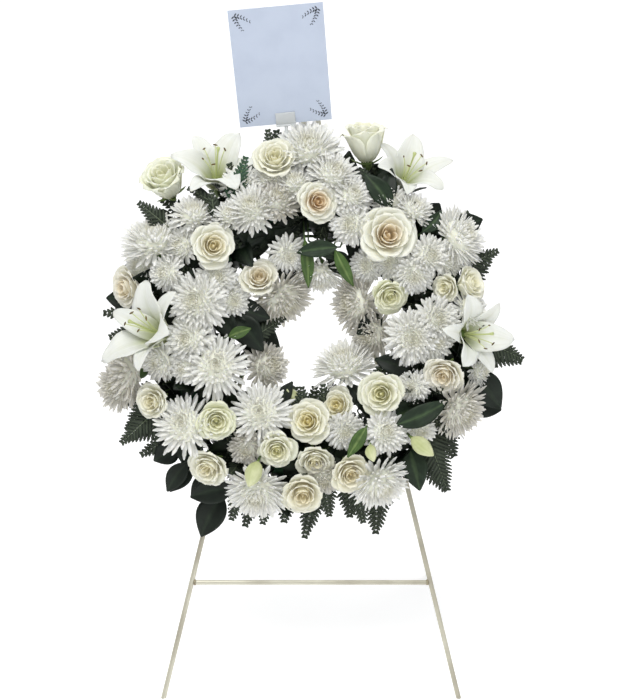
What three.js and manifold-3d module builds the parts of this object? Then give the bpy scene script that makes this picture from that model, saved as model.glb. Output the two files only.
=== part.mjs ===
// A funeral wreath of white flowers on a ring of flower foam, with its card, leaning on a wire stand.
// Millimetres, +Z up. The viewer stands on the -Y side, with +X on their right hand.
import * as THREE from 'three';
import { mergeVertices } from 'three/addons/utils/BufferGeometryUtils.js';
import Module from 'manifold-3d';

const wasm = await Module();
wasm.setup();

// Stand: two pairs of welded rods that meet at the top, the front pair joined by a crossbar
const SLOPE_LENGTH = 946;
const STAND_LEAN = THREE.MathUtils.degToRad(15);
const APEX_HEIGHT = SLOPE_LENGTH * Math.cos(STAND_LEAN);
const ROD_RADIUS = 3.75;
const ROD_SIDES = 10;
const FRONT_SPREAD = 0.2426;
const REAR_SPREAD = 0.235;
const LEG_TOP_DROP = 17.6;
const CROSSBAR_DROP = 767;
const COLLAR_RADIUS = 14;
const COLLAR_HEIGHT = 22;
const PEG_RADIUS = 2.5;
const PEG_LENGTH = 34;

// Ring: flower foam in a shallow plastic tray
const RING_DROP = 378;
const RING_RADIUS = 192;
const RING_SEGMENTS = 24;
const TRAY_HALF_WIDTH = 35;
const TRAY_WALL = 3;
const TRAY_HEIGHT = 15;
const FOAM_TOP = 51;
const FOAM_SHOULDER = 36;
const FOAM_CHAMFER = 12;
const CORE_DEPTH = 27;

// Bloom centres lie on a rounded cushion about the core of the ring
const CUSHION_REACH = 100;
const CUSHION_DEPTH = 25;
const CUSHION_RISE = 72;
const OUTER_FACING = 0.8;
const INNER_FACING = 0.65;
const WIDEST_LEAN = 0.97;
const WIDEST_FACING = THREE.MathUtils.degToRad(75);
const SPIN_STEP = 2.4;

// Sizes by kind: petals reach a little past the diameter in the table below, heads have a depth,
// and heads that press together share their room by their reach, all as shares of the radius
const BLOOM_FULLNESS = { rose: 1.08, mum: 1.16, lily: 1.06, bud: 1 };
const DEPTH_SHARE = { rose: 0.72, mum: 0.68, bud: 1 };
const REACH_SHARE = { rose: 1.06, mum: 1, bud: 0.62, lily: 0 };
const GUARD_ROOM = 1.16;

// Chrysanthemum, in shares of its radius
const MUM = {
  crown: 0.56,
  start: 0.12,
  tipHeight: 0.74,
  tipFall: 0.6,
  notchReach: 0.74,
  notchDrop: 0.14,
  innerReach: 0.68,
  backReach: 0.46,
  innerDrop: 0.42,
};
const LARGE_MUM_RADIUS = 50;
const MIDDLE_MUM_RADIUS = 34;

// Rose, in shares of its radius: each layer's reach, the height of its rim and of the groove inside
const ROSE_LAYERS = [
  { out: 0.2, rim: 0.62, groove: 0.5 },
  { out: 0.44, rim: 0.64, groove: 0.38 },
  { out: 0.7, rim: 0.5, groove: 0.2 },
  { out: 1, rim: 0.2, groove: -0.14 },
];
const ROSE = { heart: 0.56, dipReach: 0.87, dipDrop: 0.09, waistReach: 0.4, waist: -0.6, base: -0.72 };
const FULL_ROSE_RADIUS = 33;

// Lily, in shares of its radius: each place is [how far out, how high]
const LILY = {
  throat: -0.6,
  funnel: [0.13, -0.42],
  middle: [0.52, 0.2],
  notch: [0.28, 0.02],
  tip: [1, 0.1],
  shoulder: [0.64, 0.16],
  cleft: [0.36, 0.06],
  neck: [0.2, -0.5],
  base: -0.85,
};
const LILY_THICKNESS = 3;

// Bud, in shares of its length: each ring's height and width
const BUD_WIDTH = 0.24;
const BUD_RINGS = [[0.34, 0.6], [0, 1], [-0.34, 0.7]];
const BUD_FLAT = 0.9;

// Stems
const GAP = 0.3;
const STEM_RADIUS = 3;
const STEM_END = 9;
const ROOT_TOP = 42;
const FORK_OVERLAP = 2;
const NECK_SHARE = 0.15;

// Greenery grows along bent stems on the outer and inner side of the foam, just clear of the tray
const OUTER_SPRIG_RADIUS = 236;
const INNER_SPRIG_RADIUS = 149;
const SPRIG_DEPTH = 20;
const SPRIG_HALF_WIDTH = 2.2;
const SPRIG_STEP = THREE.MathUtils.degToRad(17);
const BLADE_THICKNESS = 1.4;
const FROND_THICKNESS = 1.2;
const LEAFLET_PITCH = 25;
const LEAST_LEAFLETS = 4;
const FROND_RIB = 1.6;
const FROND_TAPER = 0.75;
const FROND_END = 0.4;
const BLADE_ARCH = 0.05;
const LEAF_FOLD = 0.05;
const LEAF_OUTLINE = [0, 0.22, 0.5, 0.78, 1];
const LEAF_BELLY = 0.8;
const FRONT_STEM_RISE = 8;
const FRONT_ROOT_SHARE = 0.3;
const INTO_LEAF = 0.15;

// Card and its plastic pick
const CARD_WIDTH = 140;
const CARD_HEIGHT = 180;
const CARD_THICKNESS = 1.2;
const CARD_BASE = new THREE.Vector3(-38, 316.6, 62);
const CARD_TURN = THREE.MathUtils.degToRad(5.3);
const CARD_TIP = THREE.MathUtils.degToRad(30);
const CLAW_WIDTH = 30;
const CLAW_HEIGHT = 18;
const CLAW_WALL = 1.8;
const CLAW_FLOOR = 4;
const PICK_RADIUS = 2.6;
const PICK_FOOT = new THREE.Vector3(-38, 196, 34);

// Each bloom is [right, up, diameter], then, where it looks aside, [tilt, toward] in degrees,
// with toward turning anticlockwise from the right, and last how far it stands out of the cushion.
const BLOOM_NODES = [
  { name: 'lily_upper_left', kind: 'lily', blooms: [[-146, 256, 124, 38, 90, 18]] },
  { name: 'lily_upper_right', kind: 'lily', blooms: [[153, 250, 118, 42, 60, 12]] },
  { name: 'lily_left', kind: 'lily', blooms: [[-250, 8, 128, 42, 150, 26]] },
  { name: 'lily_right', kind: 'lily', blooms: [[251, -8, 110, 36, 350, 20]] },
  {
    name: 'roses_upper_right',
    kind: 'rose',
    blooms: [[115, 142, 80, 8, 30, 8], [118, 54, 57, 30, 290, 2]],
  },
  { name: 'rose_top', kind: 'rose', blooms: [[10, 192, 58, 12, 340, 8]] },
  { name: 'roses_upper_left', kind: 'rose', blooms: [[-146, 126, 64, 12, 0, 8], [-78, 80, 56, 22, 90, 6]] },
  { name: 'rose_top_left', kind: 'rose', blooms: [[-54, 259, 62, 25, 90, 8]] },
  { name: 'rose_top_right', kind: 'rose', blooms: [[84, 282, 68, 72, 95, 4]] },
  { name: 'rose_far_upper_left', kind: 'rose', blooms: [[-222, 228, 68, 40, 110, 0]] },
  { name: 'rose_far_left', kind: 'rose', blooms: [[-281, 68, 60, 48, 195, 4]] },
  { name: 'roses_right', kind: 'rose', blooms: [[238, 70, 54, 50, 20, 0], [202, 66, 42, 40, 200, -6]] },
  { name: 'rose_lower_right', kind: 'rose', blooms: [[105, -94, 64, 10, 180, 8]] },
  { name: 'rose_far_right', kind: 'rose', blooms: [[198, -64, 58, 35, 235, 4]] },
  {
    name: 'roses_lower',
    kind: 'rose',
    blooms: [[-4, -135, 64, 14, 150, 10], [40, -112, 54, 24, 150, -4], [-51, -177, 56, 20, 270, 2]],
  },
  {
    name: 'roses_bottom',
    kind: 'rose',
    blooms: [[-12, -243, 64, 28, 265, 4], [58, -212, 58, 24, 300, 6], [6, -194, 54, 30, 270, -10]],
  },
  {
    name: 'roses_lower_left',
    kind: 'rose',
    blooms: [[-141, -134, 56, 15, 300, 4], [-154, -204, 58, 35, 235, 0]],
  },
  { name: 'rose_far_lower_left', kind: 'rose', blooms: [[-237, -106, 54, 30, 190, 0]] },
  {
    name: 'mums_upper_left',
    kind: 'mum',
    blooms: [[-238, 140, 88, 62, 100, 0], [-177, 177, 60, 48, 90, 0]],
  },
  {
    name: 'mums_top_left',
    kind: 'mum',
    blooms: [[-121, 174, 44, 40, 90, 0], [-88, 184, 68, 30, 110, 2], [-50, 196, 62, 40, 70, -4]],
  },
  {
    name: 'mums_top',
    kind: 'mum',
    blooms: [[-3, 278, 84, 36, 95, 6], [34, 236, 66, 40, 60, 2], [-24, 222, 54, 40, 100, -8]],
  },
  { name: 'mums_top_right', kind: 'mum', blooms: [[62, 203, 56, 30, 40, 0], [60, 160, 56, 20, 200, 0]] },
  {
    name: 'mums_far_upper_right',
    kind: 'mum',
    blooms: [
      [226, 144, 80, 58, 25, 0],
      [178, 112, 54, 20, 0, 0],
      [156, 184, 52, 50, 60, 0],
      [154, 84, 54, 30, 270, -4],
    ],
  },
  { name: 'mums_hole_top', kind: 'mum', blooms: [[14, 86, 66, 75, 270, 0], [-34, 116, 50, 35, 300, 0]] },
  {
    name: 'mums_far_left',
    kind: 'mum',
    blooms: [[-218, 87, 48, 30, 180, 0], [-171, 44, 76, 14, 180, 2], [-142, 82, 54, 20, 0, -10]],
  },
  { name: 'mum_hole_upper_left', kind: 'mum', blooms: [[-42, 48, 84, 64, 305, 0]] },
  { name: 'mums_hole_right', kind: 'mum', blooms: [[66, 44, 76, 58, 185, 0], [92, -2, 68, 50, 215, 0]] },
  { name: 'mum_hole_lower_right', kind: 'mum', blooms: [[50, -48, 82, 60, 105, 0]] },
  { name: 'mum_hole_lower_left', kind: 'mum', blooms: [[-66, -52, 64, 45, 10, 0]] },
  {
    name: 'mums_right',
    kind: 'mum',
    blooms: [[152, -10, 70, 8, 270, 4], [188, 18, 58, 15, 0, 0], [240, 34, 52, 45, 20, -6]],
  },
  {
    name: 'mums_left',
    kind: 'mum',
    blooms: [[-183, -12, 62, 20, 180, 0], [-190, -54, 44, 30, 200, -6], [-228, -46, 54, 40, 200, -8]],
  },
  { name: 'mum_far_left', kind: 'mum', blooms: [[-284, -56, 92, 80, 180, 0]] },
  {
    name: 'mums_lower_left',
    kind: 'mum',
    blooms: [[-190, -140, 78, 22, 120, 2], [-142, -52, 81, 10, 60, 8], [-76, -122, 77, 14, 100, 8]],
  },
  { name: 'mum_bottom_left', kind: 'mum', blooms: [[-81, -244, 80, 46, 260, 0]] },
  { name: 'mum_bottom_right', kind: 'mum', blooms: [[104, -230, 78, 56, 300, 0]] },
  {
    name: 'mums_lower_right',
    kind: 'mum',
    blooms: [[111, -151, 56, 15, 40, 2], [51, -150, 50, 15, 300, -2]],
  },
  {
    name: 'mums_far_right',
    kind: 'mum',
    blooms: [[226, -120, 76, 54, 325, 0], [153, -84, 42, 20, 200, -8], [258, -60, 42, 50, 340, -14]],
  },
  {
    name: 'buds_lower_left',
    kind: 'bud',
    blooms: [[-85, -212, 54, 50, 250, 30], [-28, -98, 42, 60, 130, -2]],
  },
  {
    name: 'buds_lower_right',
    kind: 'bud',
    blooms: [[90, -181, 36, 50, 280, 26], [165, -172, 52, 62, 320, 22]],
  },
];

// Each leaf or frond grows at an angle round the ring and ends at [right, up, forward]
const SPRIGS = [
  {
    name: 'greens_top',
    radius: OUTER_SPRIG_RADIUS,
    span: [64, 117],
    blades: [
      { kind: 'frond', at: 100, tip: [-54, 314, 14], width: 40 },
      { kind: 'frond', at: 115, tip: [-110, 262, 10], width: 34 },
      { kind: 'leaf', at: 68, tip: [116, 262, 12], width: 34 },
      { kind: 'frond', at: 84, tip: [34, 300, 10], width: 34 },
    ],
  },
  {
    name: 'greens_upper_left',
    radius: OUTER_SPRIG_RADIUS,
    span: [125, 176],
    blades: [
      { kind: 'frond', at: 173, tip: [-322, 30, 12], width: 34 },
      { kind: 'leaf', at: 140, tip: [-256, 184, 12], width: 34 },
      { kind: 'frond', at: 134, tip: [-232, 206, 10], width: 34 },
      { kind: 'leaf', at: 160, tip: [-290, 104, 6], width: 34 },
    ],
  },
  {
    name: 'greens_lower_left',
    radius: OUTER_SPRIG_RADIUS,
    span: [186, 228],
    blades: [
      { kind: 'leaf', at: 226, tip: [-218, -246, 20], width: 34 },
      { kind: 'leaf', at: 222, tip: [-244, -199, 10], width: 38 },
      { kind: 'frond', at: 212, tip: [-284, -166, 12], width: 44 },
      { kind: 'frond', at: 218, tip: [-264, -190, 6], width: 36 },
      { kind: 'frond', at: 202, tip: [-300, -112, 2], width: 36 },
    ],
  },
  {
    name: 'greens_bottom',
    radius: OUTER_SPRIG_RADIUS,
    span: [239, 302],
    blades: [
      { kind: 'leaf', at: 241, tip: [-170, -316, 14], width: 46 },
      { kind: 'leaf', at: 240, tip: [-186, -256, 8], width: 40 },
      { kind: 'frond', at: 250, tip: [-102, -300, 12], width: 36 },
      { kind: 'frond', at: 262, tip: [-42, -294, 10], width: 34 },
      { kind: 'frond', at: 272, tip: [-10, -318, 14], width: 32 },
      { kind: 'frond', at: 285, tip: [60, -286, 8], width: 34 },
      { kind: 'frond', at: 296, tip: [100, -311, 12], width: 44 },
    ],
  },
  {
    name: 'greens_lower_right',
    radius: OUTER_SPRIG_RADIUS,
    span: [312, 356],
    blades: [
      { kind: 'frond', at: 354, tip: [326, -45, 12], width: 40 },
      { kind: 'leaf', at: 336, tip: [294, -120, 20], width: 46 },
      { kind: 'frond', at: 325, tip: [222, -192, 10], width: 40 },
      { kind: 'frond', at: 314, tip: [207, -244, 12], width: 44 },
    ],
  },
  {
    name: 'greens_upper_right',
    radius: OUTER_SPRIG_RADIUS,
    span: [6, 46],
    blades: [
      { kind: 'frond', at: 17, tip: [278, 112, 12], width: 34 },
      { kind: 'frond', at: 36, tip: [246, 186, 8], width: 34 },
      { kind: 'leaf', at: 44, tip: [198, 198, 34], width: 30 },
    ],
  },
  {
    name: 'greens_hole_top',
    radius: INNER_SPRIG_RADIUS,
    span: [60, 118],
    blades: [
      { kind: 'leaf', at: 97, tip: [-6, 84, 36], width: 28 },
      { kind: 'leaf', at: 66, tip: [54, 88, 36], width: 26 },
      { kind: 'frond', at: 112, tip: [-40, 86, 24], width: 26 },
    ],
  },
  {
    name: 'greens_hole_left',
    radius: INNER_SPRIG_RADIUS,
    span: [150, 206],
    blades: [
      { kind: 'leaf', at: 173, tip: [-48, -25, 27], width: 62 },
      { kind: 'leaf', at: 164, tip: [-84, 12, 34], width: 40 },
      { kind: 'frond', at: 200, tip: [-72, -40, 14], width: 30 },
    ],
  },
  {
    name: 'greens_hole_bottom',
    radius: INNER_SPRIG_RADIUS,
    span: [240, 312],
    blades: [
      { kind: 'frond', at: 255, tip: [-24, -84, 30], width: 34 },
      { kind: 'frond', at: 270, tip: [6, -84, 26], width: 32 },
      { kind: 'frond', at: 288, tip: [30, -78, 24], width: 36 },
      { kind: 'leaf', at: 306, tip: [66, -92, 20], width: 30 },
    ],
  },
];

// Broad leaves between the blooms stand on one stem in the front of the foam
const FRONT_LEAVES = [
  {
    name: 'leaves_lower_right',
    root: [156, -122],
    leaves: [
      { from: [164, -118, 72], tip: [114, -130, 90], width: 38 },
      { from: [148, -172, 58], tip: [165, -241, 60], width: 40 },
    ],
  },
];

const FINISH = {
  rod: { color: 0xb9b59c, roughness: 0.38, metalness: 0.75 },
  tray: { color: 0x1f2a22, roughness: 0.6, metalness: 0 },
  foam: { color: 0x2f5a3a, roughness: 0.95, metalness: 0 },
  card: { color: 0xe6e9f0, roughness: 0.6, metalness: 0 },
  clear: { color: 0xdfe6e4, roughness: 0.1, metalness: 0 },
  rose: { color: 0xe9e2c8, roughness: 0.75, metalness: 0 },
  lily: { color: 0xeef0ea, roughness: 0.6, metalness: 0 },
  mum: { color: 0xe2e3df, roughness: 0.8, metalness: 0 },
  bud: { color: 0xb5bd7c, roughness: 0.7, metalness: 0 },
  leaf: { color: 0x27382d, roughness: 0.55, metalness: 0 },
};

const FORWARD = new THREE.Vector3(0, 0, 1);
const TINY_VOLUME = 1e-9;
const BEYOND_SIZE = 1000;
const LEG_SPARE = 1.1;

// Solids

function signedVolume(positions, indices) {
  const [a, b, c] = [new THREE.Vector3(), new THREE.Vector3(), new THREE.Vector3()];
  let sum = 0;
  for (let i = 0; i < indices.length; i += 3) {
    a.fromArray(positions, indices[i] * 3);
    b.fromArray(positions, indices[i + 1] * 3);
    c.fromArray(positions, indices[i + 2] * 3);
    sum += a.dot(b.cross(c)) / 6;
  }
  return sum;
}

// A closed geometry as a solid, with its corners shared and its faces pointing out
function solidFrom(geometry, matrix = new THREE.Matrix4()) {
  const plain = geometry.clone();
  plain.deleteAttribute('normal');
  plain.deleteAttribute('uv');
  plain.applyMatrix4(matrix);
  const merged = mergeVertices(plain, 1e-4);
  const source = merged.index.array;
  const indices = [];
  for (let i = 0; i < source.length; i += 3) {
    const [a, b, c] = [source[i], source[i + 1], source[i + 2]];
    if (a !== b && b !== c && c !== a) indices.push(a, b, c);
  }
  const positions = merged.attributes.position.array;
  if (signedVolume(positions, indices) < 0) indices.reverse();
  const mesh = new wasm.Mesh({
    numProp: 3,
    vertProperties: new Float32Array(positions),
    triVerts: new Uint32Array(indices),
  });
  return new wasm.Manifold(mesh);
}

function boxesMeet(first, second) {
  const [a, b] = [first.boundingBox(), second.boundingBox()];
  return [0, 1, 2].every((axis) => a.min[axis] < b.max[axis] && b.min[axis] < a.max[axis]);
}

function without(solid, cutters) {
  return cutters.reduce((rest, cutter) => (boxesMeet(rest, cutter) ? rest.subtract(cutter) : rest), solid);
}

function joined(solids) {
  return solids.reduce((sum, solid) => sum.add(solid));
}

function largestBody(solid) {
  const bodies = solid.decompose();
  return bodies.reduce((best, body) => (body.volume() > best.volume() + TINY_VOLUME ? body : best));
}

function meshOf(name, solid, finish) {
  const { numProp, vertProperties, triVerts } = solid.getMesh();
  const positions = new Float32Array((vertProperties.length / numProp) * 3);
  for (let i = 0; i < positions.length / 3; i += 1) {
    positions.set(vertProperties.subarray(i * numProp, i * numProp + 3), i * 3);
  }
  const geometry = new THREE.BufferGeometry();
  geometry.setAttribute('position', new THREE.BufferAttribute(positions, 3));
  geometry.setIndex(new THREE.BufferAttribute(new Uint32Array(triVerts), 1));
  const shown = geometry.toNonIndexed();
  shown.computeVertexNormals();
  const mesh = new THREE.Mesh(shown, new THREE.MeshStandardMaterial(FINISH[finish]));
  mesh.name = name;
  return mesh;
}

// A matrix that takes +Z to a direction, at a place, after a spin about +Z
function facing(place, direction, spin = 0) {
  const turn = new THREE.Quaternion().setFromUnitVectors(FORWARD, direction.clone().normalize());
  turn.multiply(new THREE.Quaternion().setFromAxisAngle(FORWARD, spin));
  return new THREE.Matrix4().compose(place, turn, new THREE.Vector3(1, 1, 1));
}

// A round rod between two points
function rod(from, to, radius, sides) {
  const along = to.clone().sub(from);
  const geometry = new THREE.CylinderGeometry(radius, radius, along.length(), sides);
  geometry.rotateX(Math.PI / 2);
  return solidFrom(geometry, facing(from.clone().add(to).divideScalar(2), along));
}

// A three-sided stem between two points, thicker and longer all round by swell
function stem(from, to, radius, swell = 0) {
  const along = to.clone().sub(from);
  const length = along.length() + 2 * swell;
  const geometry = new THREE.CylinderGeometry(radius + 2 * swell, radius + 2 * swell, length, 3);
  geometry.rotateX(Math.PI / 2);
  return solidFrom(geometry, facing(from.clone().add(to).divideScalar(2), along));
}

// A large block that holds everything beyond a plane
function beyond(point, normal) {
  const geometry = new THREE.BoxGeometry(BEYOND_SIZE, BEYOND_SIZE, BEYOND_SIZE);
  return solidFrom(geometry, facing(point.clone().addScaledVector(normal, BEYOND_SIZE / 2), normal));
}

// Triangles between two closed rings of points, the first nearer the +Z end
function stitch(upper, lower, indices) {
  const above = (j) => upper.start + (j % upper.count);
  const below = (i) => lower.start + (i % lower.count);
  const lowerTurns = lower.count === 1 ? 0 : lower.count;
  const upperTurns = upper.count === 1 ? 0 : upper.count;
  let [i, j] = [0, 0];
  while (i < lowerTurns || j < upperTurns) {
    const lowerBehind = (i + 0.5) / lowerTurns <= (j + 0.5) / upperTurns;
    const lowerNext = i < lowerTurns && (j >= upperTurns || lowerBehind);
    if (lowerNext) {
      indices.push(above(j), below(i), below(i + 1));
      i += 1;
    } else {
      indices.push(above(j), below(i), above(j + 1));
      j += 1;
    }
  }
}

// A closed skin over rings of points, listed from the +Z end, the first and last a point or a flat end
function skin(rings) {
  const positions = [];
  const spans = rings.map((ring) => {
    const span = { start: positions.length / 3, count: ring.length };
    ring.forEach((point) => positions.push(point.x, point.y, point.z));
    return span;
  });
  const indices = [];
  for (let k = 1; k < spans.length; k += 1) stitch(spans[k - 1], spans[k], indices);
  const geometry = new THREE.BufferGeometry();
  geometry.setAttribute('position', new THREE.Float32BufferAttribute(positions, 3));
  geometry.setIndex(indices);
  return geometry;
}

// Points round +Z: even ones at one radius and height, odd ones at another
function wavyRing(count, even, odd) {
  return Array.from({ length: count }, (_, i) => {
    const angle = (i / count) * Math.PI * 2;
    const { radius, height } = i % 2 === 0 ? even : odd;
    return new THREE.Vector3(Math.cos(angle) * radius, Math.sin(angle) * radius, height);
  });
}

function centrePoint(height) {
  return [new THREE.Vector3(0, 0, height)];
}

// Flower heads, each facing +Z with its middle at the origin

// A chrysanthemum: layers of pointed petals, each layer's tips over the next one's notches
function mumHead(radius) {
  const large = radius >= LARGE_MUM_RADIUS;
  const small = radius < MIDDLE_MUM_RADIUS;
  const petals = large ? 10 : small ? 6 : 8;
  const layers = large ? 3 : 2;
  const rings = [centrePoint(MUM.crown * radius)];
  for (let layer = 1; layer <= layers; layer += 1) {
    const share = layer / layers;
    const reach = radius * (MUM.start + (1 - MUM.start) * share);
    const tip = { radius: reach, height: radius * (MUM.tipHeight - MUM.tipFall * share * share) };
    const notch = { radius: reach * MUM.notchReach, height: tip.height - MUM.notchDrop * radius };
    const flip = layer % 2 === 0;
    rings.push(wavyRing(petals * 2, flip ? tip : notch, flip ? notch : tip));
    const inward = layer < layers ? MUM.innerReach : MUM.backReach;
    const hidden = { radius: reach * inward, height: tip.height - MUM.innerDrop * radius };
    rings.push(wavyRing(petals, hidden, hidden));
  }
  rings.push(centrePoint(-MUM.crown * radius));
  return skin(rings);
}

// A rose: a rolled heart and turned-back petals, five to a layer
function roseHead(radius) {
  const corners = 10;
  const layers = ROSE_LAYERS.filter((_, index) => radius >= FULL_ROSE_RADIUS || index !== 1);
  const rings = [centrePoint(ROSE.heart * radius)];
  layers.forEach(({ out, rim, groove }, index) => {
    const full = { radius: out * radius, height: rim * radius };
    const dip = { radius: out * radius * ROSE.dipReach, height: (rim - ROSE.dipDrop) * radius };
    const flip = index % 2 === 0;
    rings.push(wavyRing(corners, flip ? full : dip, flip ? dip : full));
    const inside = { radius: (out * 0.9 + 0.04) * radius, height: groove * radius };
    rings.push(wavyRing(corners / 2, inside, inside));
  });
  const waist = { radius: ROSE.waistReach * radius, height: ROSE.waist * radius };
  rings.push(wavyRing(corners / 2, waist, waist));
  rings.push(centrePoint(ROSE.base * radius));
  return skin(rings);
}

// A blade along a bend: at each share of its length it has a place, a side and a front
function bladeSkin(stations, thickness) {
  const rings = stations.map(({ place, side, front, half, fold }) => {
    if (half === 0) return [place];
    const ridge = front.clone().multiplyScalar(thickness / 2 - fold);
    const keel = front.clone().multiplyScalar(-thickness / 2 - fold);
    return [
      place.clone().addScaledVector(side, half),
      place.clone().add(ridge),
      place.clone().addScaledVector(side, -half),
      place.clone().add(keel),
    ];
  });
  return skin(rings);
}

// A pointed leaf from a point to a tip, arched toward the viewer and folded along its rib
function leafBlade(from, tip, width, swell = 0) {
  const along = tip.clone().sub(from);
  const length = along.length();
  const direction = along.clone().divideScalar(length);
  const side = new THREE.Vector3().crossVectors(direction, FORWARD).normalize();
  const front = new THREE.Vector3().crossVectors(side, direction).normalize();
  const stations = LEAF_OUTLINE.map((share) => {
    const arch = BLADE_ARCH * length * Math.sin(Math.PI * share);
    const half = (width / 2) * Math.sin(Math.PI * share ** LEAF_BELLY) + swell;
    const ends = share === 0 || share === 1;
    const place = from.clone().addScaledVector(along, share).addScaledVector(front, arch);
    return { place, side, front, half: ends ? 0 : half, fold: LEAF_FOLD * width };
  });
  return solidFrom(bladeSkin(stations, BLADE_THICKNESS + 2 * swell));
}

// A lily: six tepals that open from a funnel and bend back at their tips
function lilyHead(radius, swell = 0) {
  const tepal = Math.PI / 3;
  const at = (turn, [out, height], grown = 0) => {
    const reach = out * radius + grown;
    return new THREE.Vector3(Math.cos(turn) * reach, Math.sin(turn) * reach, height * radius);
  };
  const around = (points) => Array.from({ length: 6 }, (_, index) => points(index * tepal)).flat();
  const lift = LILY_THICKNESS / 2 + 2 * swell;
  const moved = (ring, rise) => ring.map((point) => point.clone().setZ(point.z + rise));
  const throat = around((turn) => [at(turn, LILY.funnel)]);
  const middle = around((turn) => [at(turn, LILY.middle), at(turn + tepal / 2, LILY.notch)]);
  const edge = around((turn) => [
    at(turn, LILY.tip, 2 * swell),
    at(turn + tepal * 0.4, LILY.shoulder, 2 * swell),
    at(turn + tepal * 0.5, LILY.cleft, 2 * swell),
    at(turn + tepal * 0.6, LILY.shoulder, 2 * swell),
  ]);
  const neck = around((turn) => [at(turn, LILY.neck, 2 * swell)]);
  return skin([
    centrePoint(LILY.throat * radius + lift),
    moved(throat, lift),
    moved(middle, lift),
    ...(swell > 0 ? [moved(edge, 2 * swell), moved(edge, -2 * swell)] : [edge]),
    moved(middle, -lift),
    moved(neck, -lift),
    centrePoint(LILY.base * radius - lift),
  ]);
}

// A closed bud, longest along +Z
function budHead(length) {
  const rings = [centrePoint(length / 2)];
  BUD_RINGS.forEach(([rise, share]) => {
    const wide = { radius: share * BUD_WIDTH * length, height: rise * length };
    rings.push(wavyRing(6, wide, { ...wide, radius: wide.radius * BUD_FLAT }));
  });
  rings.push(centrePoint(-length / 2));
  return skin(rings);
}

// A fern frond: a thin arched blade cut to its rib into pointed leaflets
function frondBlade(from, tip, width) {
  const along = tip.clone().sub(from);
  const length = along.length();
  const pairs = Math.max(LEAST_LEAFLETS, Math.round(length / LEAFLET_PITCH));
  const pitch = 1 / (pairs + FROND_END);
  const edge = [];
  for (let pair = 0; pair < pairs; pair += 1) {
    const share = (pair + 0.5) * pitch;
    const reach = (width / 2) * (1 - FROND_TAPER * share * share);
    edge.push([FROND_RIB, pair * pitch * length], [reach, (share + 0.5 / pairs) * length]);
  }
  edge.push([FROND_RIB, pairs * pitch * length]);
  const shape = new THREE.Shape();
  shape.moveTo(0, length);
  edge.slice().reverse().forEach(([x, y]) => shape.lineTo(-x, y));
  edge.forEach(([x, y]) => shape.lineTo(x, y));
  shape.closePath();
  const geometry = new THREE.ExtrudeGeometry(shape, { depth: FROND_THICKNESS, bevelEnabled: false });
  const points = geometry.attributes.position;
  for (let i = 0; i < points.count; i += 1) {
    const share = points.getY(i) / length;
    points.setZ(i, points.getZ(i) + BLADE_ARCH * length * Math.sin(Math.PI * share));
  }
  const direction = along.clone().divideScalar(length);
  const side = new THREE.Vector3().crossVectors(direction, FORWARD).normalize();
  const front = new THREE.Vector3().crossVectors(side, direction).normalize();
  return solidFrom(geometry, new THREE.Matrix4().makeBasis(side, direction, front).setPosition(from));
}

// Places in the ring's own frame: X right, Y up its slope, Z out of its face

function corePoint(place) {
  const angle = Math.atan2(place.y, place.x);
  return new THREE.Vector3(Math.cos(angle) * RING_RADIUS, Math.sin(angle) * RING_RADIUS, CORE_DEPTH);
}

const HEADS = { rose: roseHead, mum: mumHead, lily: lilyHead, bud: budHead };

// A bloom's place on the cushion, the way it faces and how far its petals reach
function settle([right, up, diameter, tilt, toward, lift = 0], kind, index) {
  const off = (Math.hypot(right, up) - RING_RADIUS) / CUSHION_REACH;
  const lean = Math.asin(THREE.MathUtils.clamp(off, -WIDEST_LEAN, WIDEST_LEAN));
  const centre = new THREE.Vector3(right, up, CUSHION_DEPTH + CUSHION_RISE * Math.cos(lean) + lift);
  const share = lean > 0 ? OUTER_FACING : INNER_FACING;
  const natural = Math.min(Math.abs(lean) * share, WIDEST_FACING);
  const turn = tilt === undefined ? natural : THREE.MathUtils.degToRad(tilt);
  const outward = Math.atan2(up, right) + (lean > 0 ? 0 : Math.PI);
  const bearing = toward === undefined ? outward : THREE.MathUtils.degToRad(toward);
  const direction = new THREE.Vector3(
    Math.sin(turn) * Math.cos(bearing),
    Math.sin(turn) * Math.sin(bearing),
    Math.cos(turn),
  );
  const radius = (diameter / 2) * BLOOM_FULLNESS[kind];
  return { kind, centre, direction, radius, spin: index * SPIN_STEP, reach: radius * REACH_SHARE[kind] };
}

function headSolid(bloom, swell = 0) {
  const size = bloom.kind === 'bud' ? bloom.radius * 2 : bloom.radius;
  return solidFrom(HEADS[bloom.kind](size, swell), facing(bloom.centre, bloom.direction, bloom.spin));
}

// A few-sided egg that holds the whole bloom, which leaves and fronds stay out of
function guardOf(bloom) {
  const wide = bloom.radius * (bloom.kind === 'bud' ? 2 * BUD_WIDTH : 1) * GUARD_ROOM;
  const deep = bloom.radius * DEPTH_SHARE[bloom.kind] * GUARD_ROOM;
  const geometry = new THREE.SphereGeometry(1, 8, 6);
  geometry.rotateX(Math.PI / 2);
  geometry.scale(wide, wide, deep);
  return solidFrom(geometry, facing(bloom.centre, bloom.direction, bloom.spin));
}

// Blooms that press together each keep to their own side of a plane, half a gap back
function pressedBlooms(blooms) {
  const shapes = blooms.map((bloom) => headSolid(bloom));
  const roomy = blooms.map((bloom) => headSolid({ ...bloom, radius: bloom.radius + 2 * GAP }));
  const pressed = new Map(blooms.map((bloom) => [bloom, []]));
  for (let i = 0; i < blooms.length; i += 1) {
    for (let j = i + 1; j < blooms.length; j += 1) {
      if (boxesMeet(roomy[i], shapes[j]) && !roomy[i].intersect(shapes[j]).isEmpty()) {
        pressed.get(blooms[i]).push(blooms[j]);
        pressed.get(blooms[j]).push(blooms[i]);
      }
    }
  }
  return pressed;
}

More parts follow.
